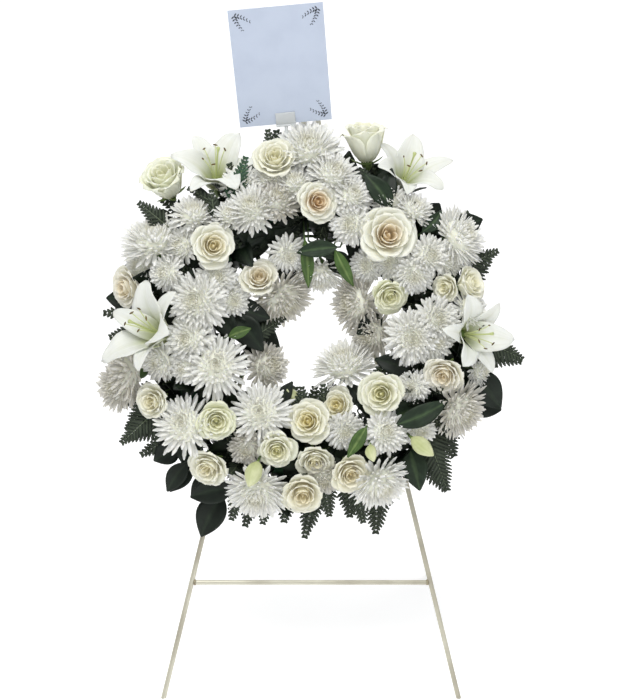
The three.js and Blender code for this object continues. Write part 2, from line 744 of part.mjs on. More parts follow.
function keepToOwnSide(solid, bloom, pressing, margin) {
  let rest = solid;
  for (const other of pressing) {
    const apart = other.centre.clone().sub(bloom.centre);
    const distance = apart.length();
    const share = (distance ** 2 + bloom.reach ** 2 - other.reach ** 2) / (2 * distance);
    const normal = apart.divideScalar(distance);
    rest = rest.subtract(beyond(bloom.centre.clone().addScaledVector(normal, share + margin), normal));
  }
  return rest;
}

// One stem for a single bloom, or a rooted stem that branches to several
function stemsFor(blooms, swell) {
  const middle = new THREE.Vector3();
  blooms.forEach((bloom) => middle.addScaledVector(bloom.centre, 1 / blooms.length));
  const core = corePoint(middle);
  const out = middle.clone().sub(core).normalize();
  const foot = core.clone().addScaledVector(out, STEM_END);
  if (blooms.length === 1) return [stem(foot, neckOf(blooms[0]), STEM_RADIUS, swell)];
  const fork = core.clone().addScaledVector(out, ROOT_TOP);
  const branches = blooms.map((bloom) => stem(fork, neckOf(bloom), STEM_RADIUS, swell));
  const top = fork.clone().addScaledVector(out, FORK_OVERLAP);
  return [stem(foot, top, STEM_RADIUS, swell), ...branches];
}

function neckOf(bloom) {
  return bloom.centre.clone().addScaledVector(bloom.direction, -NECK_SHARE * bloom.radius);
}

// Stand

function legLine(spread) {
  return new THREE.Vector3(spread, -1, 0).normalize();
}

// A leg in the plane of its pair, with Y up the slope from the apex, cut level at both ends
function legSolid(side, spread, levels, swell = 0) {
  const end = legLine(side * spread).multiplyScalar(SLOPE_LENGTH * LEG_SPARE);
  return without(rod(new THREE.Vector3(), end, ROD_RADIUS + swell, ROD_SIDES), levels);
}

// Where a front leg passes under the outer edge of the tray, as seen from the apex
function pegPlace(side) {
  const circle = RING_RADIUS + TRAY_HALF_WIDTH + GAP + PEG_RADIUS;
  const a = 1 + FRONT_SPREAD ** 2;
  const b = 2 * FRONT_SPREAD ** 2 * RING_DROP;
  const c = (FRONT_SPREAD * RING_DROP) ** 2 - circle ** 2;
  const below = (-b + Math.sqrt(b * b - 4 * a * c)) / (2 * a);
  return new THREE.Vector3(side * FRONT_SPREAD * (RING_DROP + below), -(RING_DROP + below), 0);
}

// The peg that the ring rests on, welded to the leg
function pegSolid(side, swell = 0) {
  const foot = pegPlace(side);
  const end = foot.clone().addScaledVector(FORWARD, ROD_RADIUS + GAP + PEG_LENGTH);
  return rod(foot, end, PEG_RADIUS + swell, ROD_SIDES);
}

function crossbarSolid(legs) {
  const end = new THREE.Vector3(FRONT_SPREAD * CROSSBAR_DROP, -CROSSBAR_DROP, 0);
  const otherEnd = end.clone().setX(-end.x);
  return largestBody(without(rod(otherEnd, end, ROD_RADIUS, ROD_SIDES), legs));
}

// The welded head that the four legs meet under
function collarSolid() {
  const geometry = new THREE.CylinderGeometry(COLLAR_RADIUS, COLLAR_RADIUS, COLLAR_HEIGHT, 12);
  geometry.rotateX(Math.PI / 2);
  geometry.translate(0, 0, COLLAR_HEIGHT / 2 - LEG_TOP_DROP + GAP);
  return solidFrom(geometry);
}

// Ring

function lathe(profile) {
  const points = [...profile, profile[0]].map(([radius, height]) => new THREE.Vector2(radius, height));
  const geometry = new THREE.LatheGeometry(points, RING_SEGMENTS);
  geometry.rotateX(Math.PI / 2);
  return solidFrom(geometry);
}

function traySolid() {
  const [inner, outer] = [RING_RADIUS - TRAY_HALF_WIDTH, RING_RADIUS + TRAY_HALF_WIDTH];
  return lathe([
    [inner, 0],
    [outer, 0],
    [outer, TRAY_HEIGHT],
    [outer - TRAY_WALL, TRAY_HEIGHT],
    [outer - TRAY_WALL, TRAY_WALL],
    [inner + TRAY_WALL, TRAY_WALL],
    [inner + TRAY_WALL, TRAY_HEIGHT],
    [inner, TRAY_HEIGHT],
  ]);
}

function foamSolid(swell = 0) {
  const half = TRAY_HALF_WIDTH - TRAY_WALL - GAP + swell;
  const [inner, outer] = [RING_RADIUS - half, RING_RADIUS + half];
  return lathe([
    [inner, TRAY_WALL + GAP - swell],
    [outer, TRAY_WALL + GAP - swell],
    [outer, FOAM_SHOULDER],
    [outer - FOAM_CHAMFER, FOAM_TOP + swell],
    [inner + FOAM_CHAMFER, FOAM_TOP + swell],
    [inner, FOAM_SHOULDER],
  ]);
}

// Card

function cardFrame() {
  const turn = new THREE.Quaternion().setFromAxisAngle(FORWARD, CARD_TURN);
  turn.multiply(new THREE.Quaternion().setFromAxisAngle(new THREE.Vector3(1, 0, 0), CARD_TIP));
  return new THREE.Matrix4().compose(CARD_BASE, turn, new THREE.Vector3(1, 1, 1));
}

function cardSolid() {
  const geometry = new THREE.BoxGeometry(CARD_WIDTH, CARD_HEIGHT, CARD_THICKNESS);
  geometry.translate(0, CARD_HEIGHT / 2, 0);
  return solidFrom(geometry, cardFrame());
}

// A clear claw that grips the card's lower edge, on a stem that stands in the foam
function pickSolid(swell = 0) {
  const depth = CARD_THICKNESS + 2 * (GAP + CLAW_WALL);
  const sizes = [CLAW_WIDTH, CLAW_HEIGHT + CLAW_FLOOR, depth];
  const block = new THREE.BoxGeometry(...sizes.map((size) => size + 2 * swell));
  block.translate(0, (CLAW_HEIGHT - CLAW_FLOOR) / 2, 0);
  const top = new THREE.Vector3(0, -CLAW_FLOOR / 2, 0).applyMatrix4(cardFrame());
  const body = solidFrom(block, cardFrame()).add(stem(PICK_FOOT, top, PICK_RADIUS, swell));
  if (swell > 0) return body;
  const slot = new THREE.BoxGeometry(CLAW_WIDTH * 2, CLAW_HEIGHT * 2, CARD_THICKNESS + 2 * GAP);
  slot.translate(0, CLAW_HEIGHT - GAP, 0);
  return body.subtract(solidFrom(slot, cardFrame()));
}

// Greenery

// The bent stem that a group of fronds grows from, with its root in the side of the foam
function sprigStem({ radius, span }, swell = 0) {
  const [first, last] = span.map(THREE.MathUtils.degToRad);
  const steps = Math.max(2, Math.round((last - first) / SPRIG_STEP));
  const half = SPRIG_HALF_WIDTH + swell;
  const rings = [];
  for (let step = 0; step <= steps; step += 1) {
    const angle = last + ((first - last) * step) / steps;
    const outward = new THREE.Vector3(Math.cos(angle), Math.sin(angle), 0);
    const centre = outward.clone().multiplyScalar(radius).setZ(SPRIG_DEPTH);
    const ring = [[-1, -1], [1, -1], [1, 1], [-1, 1]].map(([a, b]) => (
      centre.clone().addScaledVector(outward, a * half).addScaledVector(FORWARD, b * half)
    ));
    if (step === 0) rings.push([centre.clone()]);
    rings.push(ring);
    if (step === steps) rings.push([centre.clone()]);
  }
  const middle = (first + last) / 2;
  const direction = new THREE.Vector3(Math.cos(middle), Math.sin(middle), 0);
  const inside = radius > RING_RADIUS ? STEM_END : -STEM_END;
  const foot = direction.clone().multiplyScalar(RING_RADIUS + inside).setZ(SPRIG_DEPTH);
  const bend = direction.clone().multiplyScalar(radius).setZ(SPRIG_DEPTH);
  return solidFrom(skin(rings)).add(stem(foot, bend, SPRIG_HALF_WIDTH, swell));
}

// A leaf or frond, with its foot sunk in the straight lengths of the bent stem
function bladeSolid(radius, { kind, at, tip, width }) {
  const angle = THREE.MathUtils.degToRad(at);
  const seat = (radius * (1 + Math.cos(SPRIG_STEP / 2))) / 2;
  const from = new THREE.Vector3(Math.cos(angle) * seat, Math.sin(angle) * seat, SPRIG_DEPTH);
  const end = new THREE.Vector3(...tip);
  return kind === 'leaf' ? leafBlade(from, end, width) : frondBlade(from, end, width);
}

function frontStem({ root, leaves }, swell = 0) {
  const place = new THREE.Vector3(root[0], root[1], FOAM_TOP + FRONT_STEM_RISE);
  const core = corePoint(place).lerp(place, FRONT_ROOT_SHARE);
  const branches = leaves.map(({ from }) => {
    const intoLeaf = new THREE.Vector3(...from).lerp(place, -INTO_LEAF);
    return stem(place, intoLeaf, SPRIG_HALF_WIDTH, swell);
  });
  return joined([stem(core, place, STEM_RADIUS, swell), ...branches]);
}

function buildWreath(pegRooms) {
  const nodes = BLOOM_NODES.map(({ name, kind, blooms }, order) => {
    const settled = blooms.map((bloom, index) => settle(bloom, kind, order + index));
    return { name, kind, blooms: settled, stems: stemsFor(settled, 0), rooms: stemsFor(settled, GAP) };
  });
  const everyBloom = nodes.flatMap((node) => node.blooms);
  const packed = everyBloom.filter(({ kind }) => kind !== 'lily');
  const pressed = pressedBlooms(packed);
  const pick = pickSolid();
  const pickRoom = pickSolid(GAP);
  const foamRoom = foamSolid(GAP);
  const lilyRooms = everyBloom.filter(({ kind }) => kind === 'lily').map((bloom) => headSolid(bloom, GAP));
  const pieces = [];
  const earlier = [pickRoom, ...pegRooms];
  for (const node of nodes) {
    const others = nodes.filter((other) => other !== node).flatMap((other) => other.rooms);
    const hard = node.kind === 'lily' ? [] : lilyRooms;
    const heads = node.blooms.map((bloom) => {
      const whole = keepToOwnSide(headSolid(bloom), bloom, pressed.get(bloom) ?? [], -GAP / 2);
      return without(whole, [...others, ...hard, foamRoom, pickRoom, ...pegRooms]);
    });
    const stems = node.stems.map((piece) => without(piece, earlier));
    pieces.push({ name: node.name, finish: node.kind, solid: largestBody(joined([...heads, ...stems])) });
    earlier.push(...node.rooms);
  }
  const guards = packed.map((bloom) => keepToOwnSide(guardOf(bloom), bloom, pressed.get(bloom), GAP / 2));
  const taken = [...earlier, ...guards, ...lilyRooms];
  const greens = [
    ...FRONT_LEAVES.map((group) => ({
      name: group.name,
      stem: frontStem(group),
      room: frontStem(group, GAP),
      blades: group.leaves.map(({ from, tip, width }) => (
        leafBlade(new THREE.Vector3(...from), new THREE.Vector3(...tip), width)
      )),
    })),
    ...SPRIGS.map((sprig) => ({
      name: sprig.name,
      stem: sprigStem(sprig),
      room: sprigStem(sprig, GAP),
      blades: sprig.blades.map((blade) => bladeSolid(sprig.radius, blade)),
    })),
  ];
  const roots = [...earlier];
  greens.forEach((green, order) => {
    const neighbours = greens.slice(order + 1).map((other) => other.room);
    const blades = joined(green.blades.map((blade) => without(blade, [foamRoom])));
    const solid = without(blades.add(green.stem), [...taken, ...neighbours]);
    pieces.push({ name: green.name, finish: 'leaf', solid: largestBody(solid) });
    roots.push(green.room);
  });
  const foam = largestBody(without(foamSolid(), roots));
  return [
    { name: 'ring_tray', finish: 'tray', solid: traySolid() },
    { name: 'foam_ring', finish: 'foam', solid: foam },
    { name: 'card_pick', finish: 'clear', solid: pick },
    { name: 'memorial_card', finish: 'card', solid: cardSolid() },
    ...pieces,
  ];
}

// Assembly

// A group whose XY plane is the plane of a pair of legs, with the apex at its origin
function legPlane(lean) {
  const group = new THREE.Group();
  group.position.z = APEX_HEIGHT;
  group.rotation.x = Math.PI / 2 - lean;
  group.updateMatrix();
  return group;
}

// Blocks that hold everything under the ground and everything above the tops of the legs
function levelsIn(group) {
  const up = new THREE.Vector3(0, 0, 1);
  const legTop = new THREE.Vector3(0, 0, APEX_HEIGHT - LEG_TOP_DROP);
  const blocks = [beyond(new THREE.Vector3(), up.clone().negate()), beyond(legTop, up)];
  return blocks.map((block) => block.transform(group.matrix.clone().invert().elements.slice()));
}

const front = legPlane(STAND_LEAN);
const rear = legPlane(-STAND_LEAN);
const sides = [['left', -1], ['right', 1]];
const legRooms = [];
const part = new THREE.Group();
part.add(front, rear);

for (const [label, side] of sides) {
  const frontLeg = legSolid(side, FRONT_SPREAD, levelsIn(front)).add(pegSolid(side));
  front.add(meshOf(`front_leg_${label}`, frontLeg, 'rod'));
  rear.add(meshOf(`rear_leg_${label}`, legSolid(side, REAR_SPREAD, levelsIn(rear)), 'rod'));
  legRooms.push(legSolid(side, FRONT_SPREAD, levelsIn(front), GAP));
}
front.add(meshOf('crossbar', crossbarSolid(legRooms), 'rod'));

const collar = meshOf('apex_collar', collarSolid(), 'rod');
collar.position.z = APEX_HEIGHT;
part.add(collar);

const wreath = new THREE.Group();
wreath.position.set(0, -RING_DROP, ROD_RADIUS + GAP);
wreath.updateMatrix();
front.add(wreath);
const toWreath = wreath.matrix.clone().invert();
const pegRooms = sides.map(([, side]) => pegSolid(side, GAP).transform(toWreath.elements.slice()));
for (const { name, finish, solid } of buildWreath(pegRooms)) wreath.add(meshOf(name, solid, finish));

// The origin is on the ground, under the middle of the whole
part.updateMatrixWorld(true);
const middle = new THREE.Box3().setFromObject(part, true).getCenter(new THREE.Vector3());
part.position.set(-middle.x, -middle.y, 0);
part.updateMatrixWorld(true);

export default part;
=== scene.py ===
"""A white funeral wreath on its wire stand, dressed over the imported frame. Metres, +Z up."""
import logging
import math
from dataclasses import dataclass, field
from enum import Enum
from typing import Sequence

import bpy
import numpy as np
from mathutils import Matrix, Quaternion, Vector


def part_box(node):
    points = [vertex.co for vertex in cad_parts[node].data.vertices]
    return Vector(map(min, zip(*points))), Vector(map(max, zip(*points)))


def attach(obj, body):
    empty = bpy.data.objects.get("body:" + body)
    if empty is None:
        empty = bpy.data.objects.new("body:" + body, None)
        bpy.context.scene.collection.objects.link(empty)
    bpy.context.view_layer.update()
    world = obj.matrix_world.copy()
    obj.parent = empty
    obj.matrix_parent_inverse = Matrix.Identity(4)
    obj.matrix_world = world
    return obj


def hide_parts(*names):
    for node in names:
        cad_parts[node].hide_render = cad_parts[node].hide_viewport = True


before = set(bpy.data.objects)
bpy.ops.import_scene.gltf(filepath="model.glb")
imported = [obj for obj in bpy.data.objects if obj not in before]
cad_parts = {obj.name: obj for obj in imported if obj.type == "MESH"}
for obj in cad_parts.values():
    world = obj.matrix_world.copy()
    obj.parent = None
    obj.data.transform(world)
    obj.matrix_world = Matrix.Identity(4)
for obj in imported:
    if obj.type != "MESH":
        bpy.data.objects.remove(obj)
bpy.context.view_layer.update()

LOG = logging.getLogger("wreath")
MM = 0.001
BODY = "root"
GOLDEN_TURN = math.radians(137.508)
TINY = 1e-12
STEEPEST = 0.9
STEPS = 255
SRGB_KNEE, SRGB_SLOPE, SRGB_OFFSET, SRGB_POWER = 0.04045, 12.92, 0.055, 2.4
Colour = tuple[float, float, float]
PLAIN: Colour = (1, 1, 1)


def rgb(red: int, green: int, blue: int) -> Colour:
    """Linear colour of a display colour given in steps of 255.

    Args:
        red: Red of the display colour.
        green: Green of the display colour.
        blue: Blue of the display colour.

    Returns:
        The colour for a shader.
    """
    shares = (value / STEPS for value in (red, green, blue))
    return tuple(share / SRGB_SLOPE if share <= SRGB_KNEE
                 else ((share + SRGB_OFFSET) / (1 + SRGB_OFFSET)) ** SRGB_POWER for share in shares)


# Layout: the same named sizes as the solids, in millimetres


class Kind(Enum):
    """The kinds of bloom in the wreath."""

    ROSE = "rose"
    MUM = "mum"
    LILY = "lily"
    BUD = "bud"


@dataclass(frozen=True)
class StandSizes:
    """Sizes of the wire stand, in millimetres."""

    slope_length: float = 946
    lean: float = math.radians(15)
    rod_radius: float = 3.75
    front_spread: float = 0.2426
    rear_spread: float = 0.235
    leg_top_drop: float = 17.6
    crossbar_drop: float = 767
    collar_radius: float = 14
    collar_height: float = 22
    peg_radius: float = 2.5
    peg_length: float = 34
    gap: float = 0.3

    @property
    def apex_height(self) -> float:
        """Height of the point where the legs' lines meet."""
        return self.slope_length * math.cos(self.lean)


@dataclass(frozen=True)
class RingSizes:
    """Sizes of the foam ring and of the cushion that the blooms lie on, in millimetres."""

    drop: float = 378
    radius: float = 192
    tray_half_width: float = 35
    tray_wall: float = 3
    tray_height: float = 15
    foam_top: float = 51
    foam_shoulder: float = 36
    foam_chamfer: float = 12
    core_depth: float = 27
    cushion_reach: float = 100
    cushion_depth: float = 25
    cushion_rise: float = 72
    widest_lean: float = 0.97
    spin_step: float = 2.4
    outer_sprig_radius: float = 236
    inner_sprig_radius: float = 149
    sprig_depth: float = 20


STAND = StandSizes()
RING = RingSizes()
# How wide each kind of head is drawn, in shares of its width in the layout
FULLNESS = {Kind.ROSE: 1.16, Kind.MUM: 1.18, Kind.LILY: 1.14, Kind.BUD: 0.86}


@dataclass(frozen=True)
class BloomSpot:
    """One bloom's place on the cushion, in millimetres and degrees.

    tilt and toward say where it looks when that isn't straight out of the cushion.
    """

    right: float
    up: float
    diameter: float
    tilt: float
    toward: float
    lift: float = 0
    look: str = ""


@dataclass(frozen=True)
class BloomNode:
    """Blooms that share one root in the foam."""

    name: str
    kind: Kind
    spots: tuple[BloomSpot, ...]


ROSE, MUM, LILY, BUD = Kind
# Kind and node, then each bloom's right, up, diameter, tilt, toward, lift and look
# Mums with the darker look sit in shadow or face away; their darker petals are painted shade.
BLOOM_ROWS = (
    (LILY, "lily_upper_left", (-146, 256, 124, 38, 90, 18)),
    (LILY, "lily_upper_right", (153, 250, 118, 42, 60, 12)),
    (LILY, "lily_left", (-250, 8, 128, 42, 150, 26)),
    (LILY, "lily_right", (251, -8, 110, 36, 350, 20)),
    (ROSE, "roses_upper_right", (115, 142, 80, 8, 30, 8, "peach"), (118, 54, 57, 30, 290, 2, "green")),
    (ROSE, "rose_top", (10, 192, 58, 12, 340, 8, "orange")),
    (ROSE, "roses_upper_left", (-146, 126, 64, 12, 0, 8, "ochre"), (-78, 80, 56, 22, 90, 6, "brown")),
    (ROSE, "rose_top_left", (-54, 259, 62, 25, 90, 8, "butter")),
    (ROSE, "rose_top_right", (84, 282, 68, 72, 95, 4, "sepal")),
    (ROSE, "rose_far_upper_left", (-222, 228, 68, 40, 110, 0, "cup")),
    (ROSE, "rose_far_left", (-281, 68, 60, 48, 195, 4, "blush")),
    (ROSE, "roses_right", (238, 70, 54, 50, 20, 0, "butter"), (202, 66, 42, 40, 200, -6, "butter")),
    (ROSE, "rose_lower_right", (105, -94, 64, 10, 180, 8, "lime")),
    (ROSE, "rose_far_right", (198, -64, 58, 35, 235, 4, "blush")),
    (ROSE, "roses_lower", (-4, -135, 64, 14, 150, 10, "yolk"), (40, -112, 54, 24, 150, -4, "yolk"),
     (-51, -177, 56, 20, 270, 2, "lime")),
    (ROSE, "roses_bottom", (-12, -243, 64, 28, 265, 4, "tan"), (58, -212, 58, 24, 300, 6, "tan"),
     (6, -194, 54, 30, 270, -10, "cream")),
    (ROSE, "roses_lower_left", (-141, -134, 56, 15, 300, 4, "green"), (-154, -204, 58, 35, 235, 0, "cream")),
    (ROSE, "rose_far_lower_left", (-237, -106, 54, 30, 190, 0, "cream")),
    (MUM, "mums_upper_left", (-238, 140, 88, 62, 100), (-177, 177, 60, 48, 90)),
    (MUM, "mums_top_left", (-121, 174, 44, 40, 90), (-88, 184, 68, 30, 110, 2),
     (-50, 196, 62, 40, 70, -4, "painted_shade")),
    (MUM, "mums_top", (-3, 278, 84, 36, 95, 6), (34, 236, 66, 40, 60, 2), (-24, 222, 54, 40, 100, -8)),
    (MUM, "mums_top_right", (62, 203, 56, 30, 40), (60, 160, 56, 20, 200)),
    (MUM, "mums_far_upper_right", (226, 144, 80, 58, 25), (178, 112, 54, 20, 0), (156, 184, 52, 50, 60),
     (154, 84, 54, 30, 270, -4)),
    (MUM, "mums_hole_top", (14, 86, 66, 75, 270), (-34, 116, 50, 35, 300)),
    (MUM, "mums_far_left", (-218, 87, 48, 30, 180), (-171, 44, 76, 14, 180, 2), (-142, 82, 54, 20, 0, -10)),
    (MUM, "mum_hole_upper_left", (-42, 48, 84, 64, 305, 0, "painted_shade")),
    (MUM, "mums_hole_right", (66, 44, 76, 58, 185, 0, "painted_shade"), (92, -2, 68, 50, 215, 0, "painted_shade")),
    (MUM, "mum_hole_lower_right", (50, -48, 82, 60, 105)),
    (MUM, "mum_hole_lower_left", (-66, -52, 64, 45, 10, 0, "painted_shade")),
    (MUM, "mums_right", (152, -10, 70, 8, 270, 4), (188, 18, 58, 15, 0), (240, 34, 52, 45, 20, -6)),
    (MUM, "mums_left", (-183, -12, 62, 20, 180), (-190, -54, 44, 30, 200, -6), (-228, -46, 54, 40, 200, -8)),
    (MUM, "mum_far_left", (-284, -56, 92, 80, 180, 0, "painted_shade")),
    (MUM, "mums_lower_left", (-190, -140, 78, 22, 120, 2, "large"), (-142, -52, 81, 10, 60, 8, "large"),
     (-76, -122, 77, 14, 100, 8, "large")),
    (MUM, "mum_bottom_left", (-81, -244, 80, 46, 260)),
    (MUM, "mum_bottom_right", (104, -230, 78, 56, 300)),
    (MUM, "mums_lower_right", (111, -151, 56, 15, 40, 2), (51, -150, 50, 15, 300, -2)),
    (MUM, "mums_far_right", (226, -120, 76, 54, 325, 0, "painted_shade"), (153, -84, 42, 20, 200, -8),
     (258, -60, 42, 50, 340, -14)),
    (BUD, "buds_lower_left", (-85, -212, 54, 50, 250, 30), (-28, -98, 42, 60, 130, -2)),
    (BUD, "buds_lower_right", (90, -181, 36, 50, 280, 26), (165, -172, 52, 62, 320, 22)),
)
BLOOM_NODES = tuple(
    BloomNode(name, kind, tuple(BloomSpot(*row) for row in rows)) for kind, name, *rows in BLOOM_ROWS)


class Green(Enum):
    """The kinds of greenery."""

    LEAF = "leaf"
    FROND = "frond"


@dataclass(frozen=True)
class Blade:
    """A leaf or frond from an angle round the ring to a tip [right, up, forward], in millimetres."""

    kind: Green
    at: float
    tip: tuple[float, float, float]
    width: float


@dataclass(frozen=True)
class Sprig:
    """Leaves and fronds on one bent stem beside the foam."""

    name: str
    radius: float
    span: tuple[float, float]
    blades: tuple[Blade, ...]


def leaf(at: float, right: float, up: float, forward: float, width: float) -> Blade:
    """A broad leaf of a sprig."""
    return Blade(Green.LEAF, at, (right, up, forward), width)


def frond(at: float, right: float, up: float, forward: float, width: float) -> Blade:
    """A fern frond of a sprig."""
    return Blade(Green.FROND, at, (right, up, forward), width)


OUTER = RING.outer_sprig_radius
INNER = RING.inner_sprig_radius
SPRIGS = (
    Sprig("greens_top", OUTER, (64, 117), (
        frond(100, -54, 314, 14, 40), frond(115, -110, 262, 10, 34), leaf(68, 116, 262, 12, 34),
        frond(84, 34, 300, 10, 34))),
    Sprig("greens_upper_left", OUTER, (125, 176), (
        frond(173, -322, 30, 12, 34), leaf(140, -256, 184, 12, 34), frond(134, -232, 206, 10, 34),
        leaf(160, -290, 104, 6, 34))),
    Sprig("greens_lower_left", OUTER, (186, 228), (
        leaf(226, -218, -246, 20, 34), leaf(222, -244, -199, 10, 38), frond(212, -284, -166, 12, 44),
        frond(218, -264, -190, 6, 36), frond(202, -300, -112, 2, 36))),
    Sprig("greens_bottom", OUTER, (239, 302), (
        leaf(241, -170, -316, 14, 46), leaf(240, -186, -256, 8, 40), frond(250, -102, -300, 12, 36),
        frond(262, -42, -294, 10, 34), frond(272, -10, -318, 14, 32), frond(285, 60, -286, 8, 34),
        frond(296, 100, -311, 12, 44))),
    Sprig("greens_lower_right", OUTER, (312, 356), (
        frond(354, 326, -45, 12, 40), leaf(336, 294, -120, 20, 46), frond(325, 222, -192, 10, 40),
        frond(314, 207, -244, 12, 44))),
    Sprig("greens_upper_right", OUTER, (6, 46), (
        frond(17, 278, 112, 12, 34), frond(36, 246, 186, 8, 34), leaf(44, 198, 198, 34, 30))),
    Sprig("greens_hole_top", INNER, (60, 118), (
        leaf(97, -6, 84, 36, 28), leaf(66, 54, 88, 36, 26), frond(112, -40, 86, 24, 26))),
    Sprig("greens_hole_left", INNER, (150, 206), (
        leaf(173, -48, -25, 27, 62), leaf(164, -84, 12, 34, 40), frond(200, -72, -40, 14, 30))),
    Sprig("greens_hole_bottom", INNER, (240, 312), (
        frond(255, -24, -84, 30, 34), frond(270, 6, -84, 26, 32), frond(288, 30, -78, 24, 36),
        leaf(306, 66, -92, 20, 30))),
)


@dataclass(frozen=True)
class FrontLeaf:
    """A broad leaf between the blooms, from and to [right, up, forward], in millimetres."""

    start: tuple[float, float, float]
    tip: tuple[float, float, float]
    width: float


FRONT_LEAVES = (
    FrontLeaf((164, -118, 72), (114, -130, 90), 38),
    FrontLeaf((148, -172, 58), (165, -241, 60), 40),
)
FRONT_LEAF_ROOT = (156, -122, 59)


class Tone(Enum):
    """The greens of the leaves, named for how they look."""

    DARK = "dark"
    DEEP = "deep"
    BRIGHT = "bright"
    TEAL = "teal"


@dataclass(frozen=True)
class LooseBlade:
    """A small leaf or frond that only the dressed part has, from and to [right, up, forward], in millimetres."""

    kind: Green
    start: tuple[float, float, float]
    tip: tuple[float, float, float]
    width: float
    tone: Tone = Tone.DARK


LEAF, FROND = Green
DEEP, BRIGHT, TEAL = Tone.DEEP, Tone.BRIGHT, Tone.TEAL
# Kind, foot, tip, width and tone
LOOSE_BLADES = tuple(LooseBlade(*row) for row in (
    (FROND, (-120, 184, 76), (-98, 262, 84), 44, TEAL), (FROND, (-132, 184, 84), (-186, 216, 78), 22),
    (FROND, (-144, 166, 90), (-150, 212, 88), 22), (LEAF, (-10, 142, 84), (-4, 66, 66), 20, BRIGHT),
    (LEAF, (34, 126, 86), (64, 68, 70), 20, BRIGHT), (LEAF, (44, 126, 88), (-22, 118, 84), 26, DEEP),
    (LEAF, (-4, 136, 80), (46, 108, 78), 22, DEEP), (LEAF, (84, -140, 108), (54, -188, 112), 20, BRIGHT),
    (LEAF, (164, 146, 90), (196, 180, 86), 22, DEEP), (LEAF, (120, -142, 104), (204, -104, 104), 32, DEEP),
    (LEAF, (-112, -236, 60), (-184, -252, 44), 42), (FROND, (-108, -22, 56), (-40, 22, 44), 40),
    (LEAF, (-126, -10, 88), (-90, 4, 84), 18, BRIGHT), (FROND, (96, 196, 84), (78, 244, 84), 34),
    (LEAF, (92, 176, 76), (74, 250, 60), 40), (LEAF, (124, 182, 92), (80, 236, 92), 32, DEEP),
    (LEAF, (104, 178, 88), (122, 246, 76), 30), (LEAF, (-244, 88, 24), (-284, 30, 18), 36),
    (FROND, (-216, 158, 70), (-262, 196, 60), 40), (FROND, (160, -112, 84), (206, -150, 84), 34),
    (FROND, (-236, -96, 60), (-284, -150, 30), 44), (LEAF, (-130, 26, 58), (-72, -30, 64), 44),
    (LEAF, (-124, 46, 56), (-62, 20, 62), 36), (LEAF, (-150, 30, 62), (-112, -10, 72), 34),
    (LEAF, (156, -66, 66), (96, -42, 64), 34), (FROND, (140, -40, 66), (92, -66, 60), 36),
    (FROND, (-226, -112, 60), (-290, -170, 40), 56), (LEAF, (-186, -196, 50), (-220, -244, 40), 30),
    (FROND, (248, -6, 60), (324, -42, 40), 54), (LEAF, (240, -56, 56), (290, -116, 46), 50),
    (FROND, (166, -130, 60), (208, -242, 44), 84), (FROND, (16, -204, 50), (28, -282, 36), 56),
    (FROND, (64, -214, 50), (80, -292, 36), 56), (FROND, (-100, -214, 50), (-122, -288, 36), 50),
    (FROND, (-60, -220, 50), (-74, -294, 36), 50), (FROND, (226, 96, 60), (286, 124, 44), 46),
    (FROND, (-56, 240, 60), (-66, 308, 56), 40), (LEAF, (-56, -118, 60), (-28, -76, 62), 24),
    (FROND, (22, -126, 60), (18, -80, 62), 36), (FROND, (-12, -128, 60), (-14, -84, 60), 36),
    (LEAF, (86, -116, 66), (54, -78, 60), 26), (LEAF, (-150, 2, 54), (-112, -60, 56), 40),
    (LEAF, (-160, 30, 50), (-128, 76, 50), 34), (LEAF, (-252, 42, 20), (-318, 54, 12), 40),
    (FROND, (-226, 20, 40), (-310, -8, 30), 50), (LEAF, (-196, -150, 50), (-182, -214, 44), 36),
    (LEAF, (-226, -80, 54), (-250, -138, 48), 38), (LEAF, (20, 120, 56), (62, 84, 54), 34),
    (LEAF, (-30, 120, 52), (-44, 74, 52), 32), (LEAF, (110, 30, 54), (70, -4, 52), 32),
    (LEAF, (210, 150, 56), (262, 172, 50), 36), (LEAF, (70, -120, 66), (96, -84, 64), 30),
))
# Loose mums with the darker look carry painted shade.
LOOSE_BLOOMS = tuple(BloomSpot(*row) for row in (
    (164, -148, 44, 35, 300, -8), (-196, 128, 50, 30, 160, -6), (-62, 232, 50, 30, 100, -14),
    (120, 196, 50, 30, 60, -10), (206, 108, 46, 40, 20, -12), (-118, 46, 48, 20, 340, -12),
    (-96, -176, 50, 30, 240, -12, "painted_shade"), (20, -222, 50, 40, 270, -16, "painted_shade"),
    (-108, 224, 54, 40, 110, -14), (186, -16, 50, 20, 340, -8), (120, 104, 46, 20, 200, -12),
    (-298, -84, 66, 40, 190, -18, "painted_shade"), (84, 100, 44, 20, 200, -16), (-262, 100, 48, 40, 160, -16),
))


# Places


@dataclass(frozen=True)
class Settled:
    """A bloom in the ring's own frame, in metres: X right, Y up the slope, Z out of its face."""

    kind: Kind
    centre: np.ndarray
    direction: np.ndarray
    radius: float
    spin: float
    look: str

    def turn(self) -> np.ndarray:
        """The turn that takes +Z to the bloom's facing, as a 3 by 3 array."""
        swing = Vector((0, 0, 1)).rotation_difference(Vector(self.direction))
        return np.array((swing @ Quaternion((0, 0, 1), self.spin)).to_matrix())

    def place(self, points: np.ndarray) -> np.ndarray:
        """Points of a head that faces +Z at the origin, moved to the bloom's place."""
        return points @ self.turn().T + self.centre


